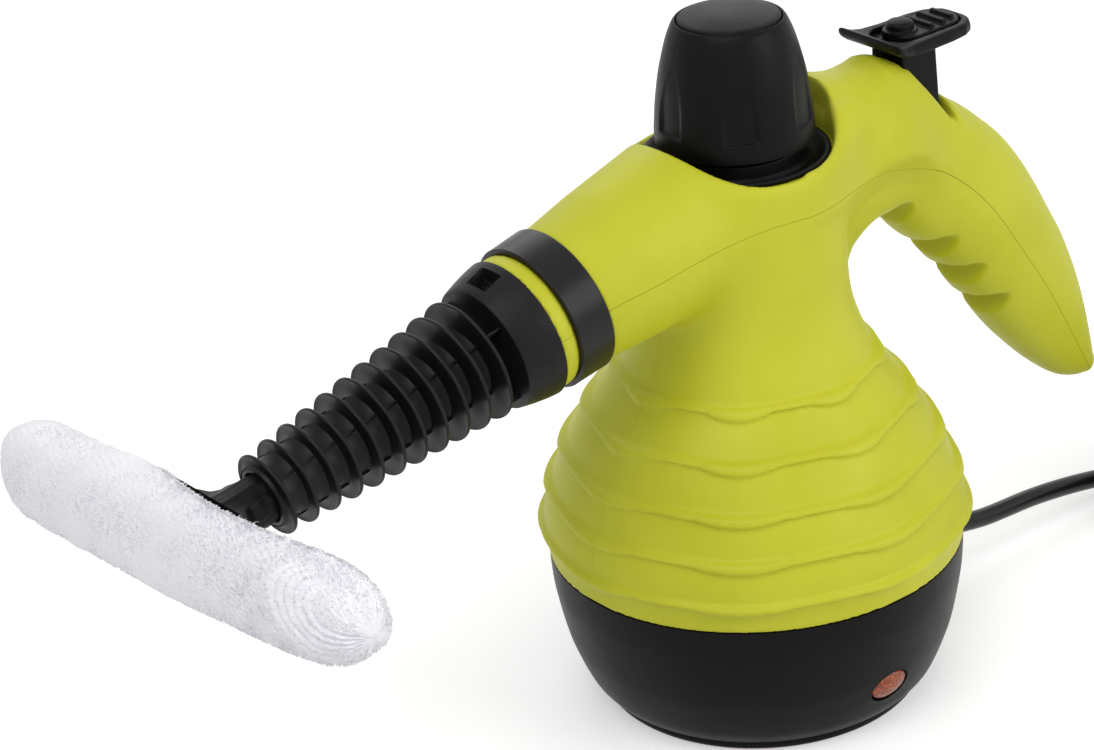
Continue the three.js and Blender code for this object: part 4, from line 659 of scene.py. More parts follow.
def housing_field(x, y, z, section=None):
    """Signed field of the closed housing skin: smooth union of the body, tube, handle and pad, less the well round
    the cap, the funnel's hole, the trigger's slot and the nozzle's mouth, above the bowl's edge."""
    if section is None:
        section = handle_section(x, z)
    tube, mouth = tube_field(x, y, z)
    shape = smooth_join(body_field(x, y, z), tube, 7)
    blend = 7 + 10 * np.clip((z - 161) / 10, 0, 1) * np.clip((np.abs(y) - 8) / 8, 0, 1)
    shape = smooth_join(shape, handle_field(x, y, z, section), blend)
    shape = smooth_join(shape, pad_field(x, y, z), 5)
    radius = np.hypot(x, y)
    shape = smooth_cut(shape, -np.maximum(radius - 30.4, 184.7 - z), 2.6)
    shape = smooth_cut(shape, -np.maximum(radius - 28.7, 180.5 - z), 0.8)
    shelf = np.maximum(np.maximum(np.abs(y) - 25, np.abs(x + 72.5) - 11.2), np.interp(x, *SHELF.T) - z)
    shape = smooth_cut(shape, -shelf, 2)
    slot = np.maximum(np.maximum(np.abs(y) - 7.8, np.abs(x + 73.3) - 9.1), 168 - z)
    shape = smooth_cut(shape, -slot, 0.7)
    shape = smooth_cut(shape, -mouth, 0.4)
    return smooth_cut(shape, 52.35 - z, 0.5)


def slope_of(field, points, step):
    """Gradient of a field at rows of x, y, z by differences over a tetrahedron's corners."""
    corners = np.array([(1, 1, 1), (1, -1, -1), (-1, 1, -1), (-1, -1, 1)], float)
    return sum(field(*(points + step * c).T)[:, None] * c for c in corners) / (4 * step)


def surface_nets(values, low, step):
    """Skin where values change sign: one point per crossed cell, at the mean of its edges' crossings, and one quad
    round each crossed edge."""
    inside = values < 0
    corners = [(i, j, k) for i in (0, 1) for j in (0, 1) for k in (0, 1)]
    nx, ny, nz = size = np.array(values.shape) - 1
    count = sum(inside[i:i + nx, j:j + ny, k:k + nz].astype(np.int8) for i, j, k in corners)
    cells = np.argwhere((count > 0) & (count < 8))
    number = np.full(size, -1, np.int32)
    number[tuple(cells.T)] = np.arange(len(cells))
    at = np.stack([values[cells[:, 0] + i, cells[:, 1] + j, cells[:, 2] + k] for i, j, k in corners], 1)
    total, hits = np.zeros((len(cells), 3)), np.zeros(len(cells))
    for a in range(8):
        for b in range(a + 1, 8):
            ca, cb = np.array(corners[a]), np.array(corners[b])
            if np.abs(ca - cb).sum() != 1:
                continue
            va, vb = at[:, a], at[:, b]
            cross = (va < 0) != (vb < 0)
            t = np.where(cross, va / np.where(cross, va - vb, 1), 0)
            total += np.where(cross[:, None], ca + t[:, None] * (cb - ca), 0)
            hits += cross
    points = (cells + total / hits[:, None]) * step + low
    quads = []
    for axis in range(3):
        u, v = (axis + 1) % 3, (axis + 2) % 3
        edges = np.argwhere(np.diff(inside, axis=axis))
        edges = edges[((edges[:, [u, v]] > 0) & (edges[:, [u, v]] < size[[u, v]])).all(1)]
        ring = []
        for du, dv in ((-1, -1), (0, -1), (0, 0), (-1, 0)):
            cell = edges.copy()
            cell[:, u] += du
            cell[:, v] += dv
            ring.append(number[tuple(cell.T)])
        ring = np.stack(ring, 1)
        inward = ~inside[tuple(edges.T)]
        ring[inward] = ring[inward][:, ::-1]
        quads.append(ring)
    return points, np.concatenate(quads)


def relax(points, quads, rounds, field, nudge):
    """Slides points along the skin towards the mean of their neighbours, then brings them back onto the skin."""
    pairs = np.concatenate([quads[:, [0, 1]], quads[:, [1, 2]], quads[:, [2, 3]], quads[:, [3, 0]]])
    pairs = np.concatenate([pairs, pairs[:, ::-1]])
    degree = np.bincount(pairs[:, 0], minlength=len(points))[:, None]
    for turn in range(rounds):
        value, slope = field(*points.T)[:, None], slope_of(field, points, nudge)
        size = np.maximum((slope ** 2).sum(1, keepdims=True), 0.25)
        points = points - np.clip(value / size, -0.5, 0.5) * slope
        if turn < rounds - 1:
            normal = slope / np.sqrt(size)
            mean = np.stack([np.bincount(pairs[:, 0], points[pairs[:, 1], axis], len(points)) for axis in range(3)], 1)
            shift = mean / degree - points
            points = points + 0.5 * (shift - normal * (shift * normal).sum(1, keepdims=True))
    return points


SKIN_NUDGE = 0.06


def housing_skin(step):
    """Points and quads of the whole housing skin, sampled on half the grid and mirrored across its mid-plane."""
    x, y, z = np.arange(-162.0, 97, step), np.arange(0.5 * step, 74 + step, step), np.arange(50.0, 206, step)
    section = [v[:, None, :] for v in handle_section(*np.meshgrid(x, z, indexing="ij"))]
    half = np.concatenate([
        housing_field(x[:, None, None], part[None, :, None], z[None, None, :], section).astype(np.float32)
        for part in np.array_split(y, 6)], 1)
    values = np.concatenate([half[:, ::-1], half], 1)
    points, quads = surface_nets(values, np.array([-162.0, -(len(y) - 0.5) * step, 50.0]), step)
    return relax(points, quads, 6, housing_field, SKIN_NUDGE), quads


# Seams: the top cover and the two lower halves
SEAM = np.array([(160, 145), (120, 152), (95, 157.5), (70, 163.3), (57, 165.5), (38, 169), (24, 171), (11, 173),
                 (-2, 173), (-12, 173), (-21, 172.6), (-30, 171.4), (-43.6, 170), (-60, 165.4), (-71.6, 160.5),
                 (-83.1, 151.9), (-94.5, 139.8), (-108, 121), (-121, 102.5), (-133, 84), (-146, 64), (-160, 48),
                 (-175, 30)], float)
SEAM_LINE = catmull(SEAM, 400)


def seam_side(points):
    """Signed distance from the seam's curve in the XZ plane, positive above it."""
    tangent = np.gradient(SEAM_LINE, axis=0)
    normal = np.stack([tangent[:, 1], -tangent[:, 0]], 1) / np.hypot(*tangent.T)[:, None]
    near = np.concatenate([
        np.argmin((part[:, :1] - SEAM_LINE[:, 0]) ** 2 + (part[:, 2:] - SEAM_LINE[:, 1]) ** 2, 1)
        for part in np.array_split(points, 12)])
    return ((points[:, [0, 2]] - SEAM_LINE[near]) * normal[near]).sum(1)


def clip(points, triangles, value):
    """The part of a skin where value is positive, its edge cut exactly where value is zero, and that edge."""
    keep = value > 0
    count = keep[triangles].sum(1)
    crossed = triangles[(count == 1) | (count == 2)]
    one = keep[crossed].sum(1) == 1
    two = ~one
    lone = (keep[crossed] == one[:, None]).argmax(1)
    a, b, c = (crossed[np.arange(len(crossed)), (lone + i) % 3] for i in range(3))
    unique, back = np.unique(np.sort(np.stack([np.append(a, a), np.append(b, c)], 1), 1), axis=0, return_inverse=True)
    va, vb = value[unique[:, 0]], value[unique[:, 1]]
    t = (va / (va - vb))[:, None]
    fresh = points[unique[:, 0]] * (1 - t) + points[unique[:, 1]] * t
    p, q = np.split(back.ravel() + len(points), 2)
    out = [triangles[count == 3]] + [np.stack(corners, 1) for corners in (
        (a[one], p[one], q[one]), (p[two], b[two], c[two]), (p[two], c[two], q[two]))]
    cut_edges = np.concatenate([np.stack([p[one], q[one]], 1), np.stack([q[two], p[two]], 1)])
    points = np.concatenate([points, fresh])
    used, inverse = np.unique(np.concatenate(out), return_inverse=True)
    renumber = np.full(len(points), -1)
    renumber[used] = np.arange(len(used))
    return points[used], inverse.reshape(-1, 3), renumber[cut_edges]


def with_lip(points, triangles, cut_edges, depth=1.6):
    """Turns a cut edge inward as a wall that follows the skin's inward normal."""
    rim = np.unique(cut_edges)
    inward = -slope_of(housing_field, points[rim], SKIN_NUDGE)
    inward /= np.linalg.norm(inward, axis=1)[:, None]
    place = np.full(len(points), -1)
    place[rim] = np.arange(len(rim))
    inner = len(points) + place[cut_edges]
    walls = np.concatenate([np.stack([cut_edges[:, 1], cut_edges[:, 0], inner[:, 0]], 1),
                            np.stack([cut_edges[:, 1], inner[:, 0], inner[:, 1]], 1)])
    return np.concatenate([points, points[rim] + depth * inward]), np.concatenate([triangles, walls])


def boundary(triangles):
    """Edges used by one triangle only, in that triangle's own direction."""
    edges = np.concatenate([triangles[:, [0, 1]], triangles[:, [1, 2]], triangles[:, [2, 0]]])
    _, index, times = np.unique(np.sort(edges, 1), axis=0, return_index=True, return_counts=True)
    return edges[index[times == 1]]


def make_housing():
    """Cuts the housing skin into its top cover and two lower halves along the seams, a hair apart."""
    skin, quads = housing_skin(0.85)
    triangles = np.concatenate([quads[:, [0, 1, 2]], quads[:, [0, 2, 3]]])
    slit = 0.075
    side = seam_side(skin)
    parts = {"top_cover": clip(skin, triangles, side - slit)}
    below, triangles, _ = clip(skin, triangles, -side - slit)
    for name, way in (("lower_housing_left", 1), ("lower_housing_right", -1)):
        points, faces, _ = clip(below, triangles, way * below[:, 1] - slit * 0.4)
        parts[name] = points, faces, boundary(faces)
    for name, part in parts.items():
        finish_piece(put_mesh(name + "_skin", *with_lip(*part)), lime_plastic, name, angle=50, merge=False)


def field_piece(name, field, low, high, step, finish, node, body, rounds=5, place=None):
    """A piece skinned from a field over a box of its own frame, and set in place."""
    low = np.array(low, float)
    axes = [np.arange(a, b + step, step) for a, b in zip(low, high)]
    values = field(*np.meshgrid(*axes, indexing="ij", sparse=True)) + np.zeros([len(a) for a in axes])
    points, quads = surface_nets(values, low, step)
    points = relax(points, quads, rounds, field, 0.04)
    return finish_piece(put_mesh(name, place(points) if place else points, quads), finish, node, body, 60, False)


# Base: bowl with the lamp's seat
LAMP = {"height": 19.0, "half": (7.0, 5.0), "tilt": np.radians(17)}
BOWL = np.array([(46, 4.2), (52.4, 4.2), (54.6, 5), (57.3, 8.4), (59.5, 13), (61.3, 17.6), (63, 22.6), (64.3, 28),
                 (65.3, 33), (66, 37), (66.6, 41), (66.95, 45), (67.15, 49), (67.2, 52), (66.6, 52.15), (64, 52.15)])


def make_bowl():
    """Bowl of the base: a smooth lathe with an oval seat sunk where the lamp's lens sits."""
    wall = wall_rows(BOWL[2:14], dense(5, 51.8, 60, (12.8, 25.4, 0.28)), 300)
    profile = np.concatenate([BOWL[:2], [(53.8, 4.4)], wall, BOWL[-2:]])
    turns = dense(0, TAU, 181, (np.pi / 2 - 0.15, np.pi / 2 + 0.15, 0.0045))[:-1]

    def seat(turn, radius, height):
        """Sinks the wall by 1.9 inside the oval and raises a thin lip round it."""
        across = radius * np.sin(turn - np.pi / 2)
        oval = np.hypot(across / (LAMP["half"][0] + 0.45), (height - LAMP["height"]) / (LAMP["half"][1] + 0.35))
        lip = np.exp(-((oval - 1.1) / 0.07) ** 2) * 0.12
        return radius - 1.9 * (1 - soft_step(oval, 1, 0.075)) + lip, height
    turned("bowl_skin", profile, turns, satin_black, "base_shell", wave=seat)


make_bowl()


def make_lens():
    """Oval lamp lens: a shallow dome with a rolled rim, tilted to the bowl's wall."""
    share = np.concatenate([np.linspace(0, 0.9, 16), [0.94, 0.97, 0.99, 1, 1, 1]])[:, None]
    lift = np.concatenate([1.5 * (1 - share[:16] ** 2.2) + 0.25, np.array([[0.36, 0.2, -0.02, -0.3, -1.4, -5.5]]).T])
    turn = TAU * np.arange(64) / 64
    x = LAMP["half"][0] * share * np.cos(turn)
    z = LAMP["half"][1] * share * np.sin(turn)
    y = lift + 0.10 * np.cos(x * 3.4) * np.cos(z * 3.4) * (share < 0.93) - 0.75
    c, s = np.cos(-LAMP["tilt"]), np.sin(-LAMP["tilt"])
    points = np.stack([x, y * c - z * s, y * s + z * c], -1).reshape(-1, 3) + (0, 61.75, LAMP["height"])
    finish_piece(put_mesh("lens_dome", points, grid_faces(len(share), len(turn))), amber_lens, "lamp_lens", angle=60)


make_lens()

# Ring over the housing's nose, and the funnel round the filler with its inner lip
NOSE_RING = [(21.9, 0), (23.9, 0), (24.2, 0.4), (23.9, 11.6), (23.95, 12.4), (22.9, 12.6), (21.9, 12.6), (21.9, 0)]
FUNNEL = [(17.3, 180.4), (22, 180.4), (26.4, 181.5), (27.4, 183), (28.6, 184.5), (29.6, 185), (29.7, 186),
          (28.9, 186.6), (27.6, 186.1), (26.4, 184.7), (25, 183.7), (22.6, 183.3), (21.5, 184.6), (21.2, 188.4),
          (20.7, 188.8), (20.2, 188.4), (19.9, 183.6), (19, 181.9), (17.3, 181.6), (17.3, 180.4)]
turned("nose_ring", rounded(NOSE_RING, 0.25, 3), 160, gloss_black_with_painted_light, "nozzle_clamp_ring", place=to_nozzle)
turned("funnel_dish", rounded(FUNNEL, 0.4, 3), 160, satin_black, "filler_funnel", slot="gloss_black_plastic")

# Cap
CAP = np.array([(24.6, 190.3), (24.85, 191), (24.95, 194), (24.75, 197), (24.3, 202), (23.7, 206.5), (22.7, 212.6),
                (21.3, 218.6), (19.9, 223.6), (18.6, 227), (17.6, 229)])
CAP_RIM = [(21.8, 196), (22.2, 191), (22.9, 190.55), (24.1, 190.5), (24.5, 190.62)]
CAP_TOP = [(17.15, 229.5), (16.7, 229.62), (16.45, 229.4), (16.4, 228.6), (16.4, 226.6), (15, 226.4)]


def make_cap():
    """Grip shell with six pointed recesses pressed into its side, and the disc let into its top."""
    side = wall_rows(CAP, dense(190.9, 228.6, 70, (195.6, 199.6, 0.16)), 400)
    first, pitch = np.radians(54), TAU / 6
    turns = dense(0, TAU, 241, *[(first + pitch * i - 0.3, first + pitch * i + 0.3, 0.011) for i in range(-1, 6)])
    turns = turns[(turns >= 0) & (turns < TAU - 1e-4)]

    def press(turn, radius, height):
        """Sinks each recess by up to 1.05 under a pointed arch, less and less towards its tip."""
        off = (turn - first + pitch / 2) % pitch - pitch / 2
        across = np.abs(radius * np.sin(off))
        arch = 5.5 * np.sqrt(np.clip(1 - (np.clip(height - 203, 0, 15) / 15) ** 1.5, 0, 1))
        inside = soft_step(arch - across, 0.4, 2.2) * soft_step(height, 197.2, 0.8)
        fade = 0.15 + 0.85 * (1 - soft_step(height, 207, 17))
        return radius - 1.05 * inside * fade, height
    turned("cap_grip_shell", np.concatenate([CAP_RIM, side, CAP_TOP]), turns, satin_black, "cap_shell", "cap_grip",
           wave=press)
    disc = [(0.001, 227.4), (15.9, 227.4), (16.1, 228.6), (16.05, 229.7), (15.6, 230.15), (14.5, 230.55)]
    disc += [(r, 232.35 - 1.75 * (r / 14.2) ** 2.4) for r in (12.5, 10.5, 8.5, 6.5, 4.5, 2.5, 1)] + [(0.001, 232.36)]
    turned("cap_top_disc", rounded(disc, 0.3, 3), 128, satin_black, "cap_disc", "cap_grip")


make_cap()


# Extension: collar with a window, eleven thin fins with rolled rims, and four webs along the core
def make_extension():
    """Collar and finned core as one lathe, with the window sunk in its top and a parting line each side."""
    count, first, pitch = 11, 37.6, 7.65
    share = np.arange(count) / (count - 1)
    at, out, core = first + pitch * np.arange(count), 19.9 - 6.7 * share, 10.9 - 1.2 * share
    heights = dense(18.6, 30.6, 14, (20.6, 28.4, 0.25))
    collar = np.interp(heights, [18.3, 22, 26, 29, 30.4, 30.8], [23.15, 22.6, 21.75, 20.95, 20.6, 20.4])
    rows = [(17.4, 22), (17.4, 18.5), (17.8, 18.3), (22.8, 18.3), (23.1, 18.42), *zip(collar, heights),
            (20.2, 31), (18, 31.3), (15, 31.8), (13.6, 32.6), (11.6, 34)]
    for s, r, c in zip(at, out, core):
        side = [(c + 0.15, 1.9), (c + 0.5, 0.85), (c + 1.3, 0.5), (r - 1.1, 0.34), (r - 0.75, 0.5), (r - 0.35, 0.62),
                (r - 0.08, 0.4)]
        rows += [(p, s - q) for p, q in side] + [(r, s)] + [(p, s + q) for p, q in side[::-1]]
    rows += [(9.8, 115.4), (9.5, 115.9), (8.4, 116), (8.3, 115.6), (8.3, 103)]
    turns = dense(0, TAU, 129, (np.pi - 0.25, np.pi + 0.25, 0.011), (np.pi / 2 - 0.03, np.pi / 2 + 0.03, 0.006),
                  (1.5 * np.pi - 0.03, 1.5 * np.pi + 0.03, 0.006))[:-1]

    def window(turn, radius, height):
        """Sinks the window by 4.2 in the collar's top and scores a hair line down each side."""
        across = np.abs(radius * np.sin(turn - np.pi))
        box = np.maximum(across - 4.4, np.abs(height - 24.6) - 3.3)
        sunk = (1 - soft_step(box, 0, 0.35)) * (np.cos(turn) < 0) * (radius > 20)
        seam = np.exp(-((np.abs(np.sin(turn)) - 1) / 0.00006) ** 2) * (radius > 20.4) * 0.22
        return radius - 4.2 * sunk - seam, height
    turned("extension_fins", rows, turns, nozzle_black_with_painted_light, "extension_nozzle", "extension", place=to_nozzle, wave=window)
    webs = []
    for turn in np.radians([45, 135, 225, 315]):
        for k in range(count):
            near = at[k - 1] + 0.3 if k else 31.2
            reach = core[k] + (out[k] - core[k]) * (0.2 if k else 0.8)
            webs += [(r * np.cos(turn) - w * np.sin(turn), r * np.sin(turn) + w * np.cos(turn), s)
                     for s in (near, at[k] - 0.3) for w in (-0.35, 0.35) for r in (core[k] - 0.6, reach)]
    box = np.array([[0, 1, 3, 2], [4, 6, 7, 5], [0, 4, 5, 1], [2, 3, 7, 6], [0, 2, 6, 4], [1, 5, 7, 3]])
    faces = (box + 8 * np.arange(len(webs) // 8)[:, None, None]).reshape(-1, 4)
    piece = finish_piece(put_mesh("extension_webs", to_nozzle(webs), faces), nozzle_black_with_painted_light, body="extension")
    ease = piece.modifiers.new("eased_edges", "BEVEL")
    ease.width, ease.segments = 0.15 * MM, 2


make_extension()


# Trigger and its lock
def rounded_box(x, y, z, low, high, radius):
    """Signed distance from a box with rounded edges."""
    d = [np.maximum(a - v, v - b) + radius for v, a, b in zip((x, y, z), low, high)]
    out = np.sqrt(sum(np.maximum(v, 0) ** 2 for v in d))
    return out + np.minimum(np.maximum(np.maximum(d[0], d[1]), d[2]), 0) - radius


def stadium_side(x, y, front, rear, half):
    """Signed distance from a stadium in plan between front and rear."""
    along = np.maximum(np.maximum(x - (front - half), (rear + half) - x), 0)
    return np.hypot(along, y) - half


PADDLE_X = np.array([-96.6, -96.1, -95.2, -93.4, -90, -84, -72, -65, -61.6, -59.4, -57.9, -57.1])
PADDLE_HALF = np.array([0.5, 4, 6.9, 9.2, 10.9, 11.7, 12.1, 12.7, 13.5, 14.1, 14.3, 14.2])
PADDLE_TOP = np.array([203.5, 203.8, 203.9, 203.9, 203.9, 204, 204, 204.2, 204.7, 205.5, 206.3, 206.8])
PADDLE_LOW = np.array([200.3, 199.9, 199.6, 199.5, 199.5, 199.5, 199.5, 200, 200.9, 201.9, 203.1, 203.9])


def paddle_field(x, y, z):
    """Trigger: a paddle with an upturned lip on a tapered stem, a sunk oval for the lock, and a spring foot."""
    half = np.interp(x, PADDLE_X, PADDLE_HALF)
    top = np.interp(x, PADDLE_X, PADDLE_TOP)
    low = np.interp(x, PADDLE_X, PADDLE_LOW)
    slope = np.clip((np.abs(y) - half) * 0.8, -60, 60)
    plate = smooth_cut(smooth_cut(slope, z - top, 1.8), low - z, 1.8)
    plate = smooth_cut(smooth_cut(plate, x + 57.0, 1.2), -(x + 96.4), 1.2)
    lean = np.clip((200 - z) / 34, 0, 1)
    stem = smooth_cut(np.abs(y) - 7.3, np.maximum(x + 65 - 0.3 * lean, -(x + 79.9 + 1.9 * lean)), 1.2)
    stem = smooth_cut(np.maximum(stem, z - 201), 166.6 - z, 1)
    foot = rounded_box(x, y, z, (-84, -7.3, 166.2), (-62.4, 7.3, 168.6), 0.4)
    brace = np.maximum(np.abs(y) - 1.1, np.maximum((x + 60.6) + (199 - z) * 0.5, -(x + 72)))
    brace = np.maximum(np.maximum(brace, z - 201), 190 - z)
    shape = smooth_join(smooth_join(plate, stem, 1.6), foot, 0.8)
    shape = smooth_join(shape, brace, 0.8)
    sunk = np.maximum(stadium_side(x, y, -60.9, -94.8, 8.3), 202.1 - z)
    return smooth_cut(shape, -sunk, 0.5)


def lock_field(x, y, z):
    """Lock slider: an oval plate with three cross ribs, and a domed knob on a round step."""
    shape = smooth_cut(stadium_side(x, y, -65.9, -94, 7.6), np.maximum(z - 204.5, 202.4 - z), 0.8)
    for centre, wide in ((-79.6, 6.2), (-84.8, 6.2), (-89.6, 5)):
        rib = rounded_box(x, y, z, (centre - 0.95, -wide, 203.6), (centre + 0.95, wide, 205.9), 0.7)
        shape = smooth_join(shape, rib, 0.7)
    radius = np.hypot(x + 71.1, y)
    knob = smooth_cut(radius - 4.6 + 0.05 * (z - 203), z - (208.6 - 0.055 * radius ** 2), 0.9)
    step = np.maximum(radius - 5.5, z - 205.3)
    shape = smooth_join(shape, np.maximum(step, 203 - z), 0.5)
    return smooth_join(shape, smooth_cut(knob, 203 - z, 0.4), 0.4)


COARSE = 1.0
field_piece("trigger_paddle", paddle_field, (-101, -16, 165), (-55, 16, 209), 0.42 * COARSE, satin_black, "trigger",
            "trigger")
field_piece("lock_button", lock_field, (-98, -9, 201.5), (-64, 9, 210), 0.26 * COARSE, satin_black, "lock_slider",
            "lock_slider")


# Bottom plate: a shallow dish with a rolled rim and three sunk screw seats
def screw_seats(turn, radius, height):
    """Sinks a round seat in the dish's floor at each of the three base screws."""
    seats = [np.hypot(radius * np.cos(turn) - 44 * np.cos(a), radius * np.sin(turn) - 44 * np.sin(a))
             for a in TAU / 3 * np.arange(3)]
    return radius, height + 2.3 * (1 - soft_step(np.minimum.reduce(seats), 3.65, 0.4)) * (height < 0.1)


DISH = [(0.001, 0), *[(r, 0) for r in np.arange(39, 50, 0.45)], (50.4, 0.12), (51.4, 0.6), (52, 1.2), (52.3, 2),
        (52.3, 3.3), (52, 3.7), (46.2, 3.7), (46.2, 2.6), (0.001, 2.6)]
turned("base_dish", DISH, 288, satin_black, "base_plate", wave=screw_seats)


# Cloth head
def tool_field(x, y, z):
    """Tool in the nozzle's frame: ribbed round neck, a fan to a cross bar, and the ridge that shows behind the cloth.
    x is down, z runs out along the nozzle."""
    up = -x
    radius = np.hypot(x, y)
    turn = np.arctan2(y, up)
    ribs = 0.45 * np.exp(-((((turn / TAU * 10) % 1) - 0.5) / 0.13) ** 2)
    neck = smooth_cut(radius - 7.75 - ribs * soft_step(z, 117, 1.5), np.maximum(102.3 - z, z - 147), 0.5)
    share = np.clip((z - 124) / 18, 0, 1)
    fan = smooth_cut(np.abs(y) - (7 + 46 * share ** 1.3), np.maximum(np.abs(up - 6.2 * share - 1) - 3.6, z - 150), 2)
    fan = smooth_cut(fan, 122 - z, 2)
    up = up - 0.075 * y
    bar = np.sqrt(((up - 6.2) / 10.5) ** 2 + ((z - 147) / 7.2) ** 2 + (np.abs(y) / 73) ** 8 + 1e-9)
    bar = (bar - 1) * 7.2
    lane = np.maximum(np.abs(y - 33) - 46, 0)
    ridge = np.sqrt(((up - 18) / 4.9) ** 2 + ((z - 140) / 4.1) ** 2 + (lane / 9) ** 2) - 1
    shape = smooth_join(smooth_join(smooth_join(neck, fan, 4), bar, 3), ridge * 4.1, 1.2)
    return np.maximum(shape, -np.maximum(radius - 4.7, z - 132))


BONNET = {"up": 6.2, "along": 147.0, "half": (15.7, 12.9), "reach": 92.5, "shift": 9.0, "tilt": 0.08,
          "opening": (26.0, 56.0), "middle": np.radians(80), "power": 2.7, "arc": 13.5, "girth": 88}


def lobes(seed, count, *places):
    """Sum of seeded sine waves over the places, smooth and between about -1 and 1."""
    rng = np.random.default_rng(seed)
    total = 0
    for _ in range(count):
        push = rng.normal(size=len(places))
        total = total + np.sin(sum(p * q for p, q in zip(push, places)) + rng.uniform(0, TAU))
    return total / np.sqrt(count)


def bonnet_shape(y, share):
    """Outer surface of the bonnet: y along the bar, share 0 to 1 round from the opening's front edge, below and
    behind, back to its rear edge. Returns points in the nozzle's frame and the angle and the opening's width there.
    The section is a superellipse that sinks at the opening and thins below towards one end."""
    u = y / BONNET["reach"]
    swell = np.clip(1 - np.abs(u) ** np.where(u < 0, 16, 9), 0, 1) ** 0.5
    centre, half = BONNET["opening"]
    gape = np.clip(1 - ((y - centre) / half) ** 2, 0, 1) ** 0.6
    width = np.radians(64) * gape
    theta = BONNET["middle"] - width - share * (TAU - 2 * width)
    slump = 1 + 0.035 * np.cos(3 * theta) + 0.02 * np.sin(5 * u + 2 * theta)
    below = np.clip(-np.cos(theta), 0, 1)
    slump = slump * (1 - 0.24 * below * soft_step(u, 0.62, 1.1)) * (1 - 0.07 * gape * np.clip(np.cos(theta), 0, 1))
    power = BONNET["power"]
    reach = swell * slump * (np.abs(np.cos(theta)) ** power + np.abs(np.sin(theta)) ** power) ** (-1 / power)
    place = y + BONNET["shift"]
    up = BONNET["up"] + BONNET["half"][0] * reach * np.cos(theta) + 1.6 + BONNET["tilt"] * place
    along = BONNET["along"] - BONNET["half"][1] * reach * np.sin(theta)
    return np.stack([-up, place + 0 * share, along], -1), theta, gape


def gather_share(y, arc):
    """1 along the nested sewn arcs round the bonnet's end and 0 away from them."""
    ring = np.hypot(y - 90, 1.5 * (arc + 7))
    return sum(np.exp(-((ring - 13 - 3.8 * k) / 0.85) ** 2) for k in range(5)) * soft_step(-arc, 2, 10)


def loose_share(y, edge):
    """1 where the cloth's loops stand long, on the hem and on the gathered end, and 0 on its smooth front panel."""
    return np.clip(np.exp(-(edge / 6) ** 2) + 0.55 * soft_step(y, 40, 20), 0, 1)


def make_bonnet():
    """Terry bonnet: looped surface on a sagging sleeve, its opening's hem rolled in and ruffled, with nested sewn
    gathers at one end and a loose pile of bent loops, short on the front panel and long on the hem and that end."""
    rows, columns = ((320, 330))
    ends = np.sin(np.linspace(-np.pi / 2, np.pi / 2, rows)) * 0.45 + np.linspace(-1, 1, rows) * 0.55
    y = (ends * BONNET["reach"] * 0.9995)[:, None]
    share = np.linspace(0, 1, columns)[None, :]
    base, theta, gape = bonnet_shape(y, share)
    step_y = bonnet_shape(y + 0.01, share)[0] - base
    step_v = bonnet_shape(y, share + 1e-4)[0] - base
    normal = np.cross(step_v, step_y)
    normal /= np.maximum(np.linalg.norm(normal, axis=-1, keepdims=True), 1e-9)
    outward = base - (-BONNET["up"], 0, BONNET["along"])
    outward[..., 1] *= 0.02
    normal *= np.sign((normal * outward).sum(-1, keepdims=True))
    arc = theta * BONNET["arc"]
    edge = np.minimum(share, 1 - share) * BONNET["girth"]
    pile = 0.3 * lobes(5, 26, y * 3.1, arc * 3.1) + 0.2 * lobes(8, 30, y * 5.5, arc * 5.5)
    folds = 0.4 * lobes(11, 8, y * 0.2, arc * 0.28)
    ruffle = np.exp(-(edge / 2.4) ** 2) * (gape > 0.02) * 0.8 * lobes(17, 10, y * 1.1)
    height = pile * (0.3 + 0.6 * loose_share(y, edge)) + folds - 1.9 * gather_share(y, arc) + ruffle
    fade = np.clip((BONNET["reach"] - np.abs(y)) / 1.2, 0.15, 1)
    points = base + normal * (height * fade)[..., None]

    def hem(last, before):
        """Rows rolled inward from an edge of the opening, each by a turn and a depth."""
        roll = 2.2 * (base[:, last] - base[:, before]) * gape[..., None]
        return [points[:, last] - normal[:, last] * depth + roll * turn
                for turn, depth in ((0.7, 0.5), (1.2, 1.4), (1.6, 2.6), (1.4, 4.4))]
    front, back = hem(slice(0, 1), slice(1, 2)), hem(slice(-1, None), slice(-2, -1))
    sheet = np.concatenate(front[::-1] + [points] + back, 1)
    rows, columns = sheet.shape[:2]
    poles = [sheet[0].mean(0, keepdims=True), sheet[-1].mean(0, keepdims=True)]
    faces = grid_faces(rows, columns, closed=False).tolist()
    end = rows * columns
    last = end - columns
    faces += [[end, i + 1, i] for i in range(columns - 1)]
    faces += [[end + 1, last + i, last + i + 1] for i in range(columns - 1)]
    bonnet = put_mesh("bonnet_terry", to_nozzle(np.concatenate([sheet.reshape(-1, 3)] + poles)), faces)
    finish_piece(bonnet, white_cloth, "cloth_bonnet", "cloth_tool", angle=180)


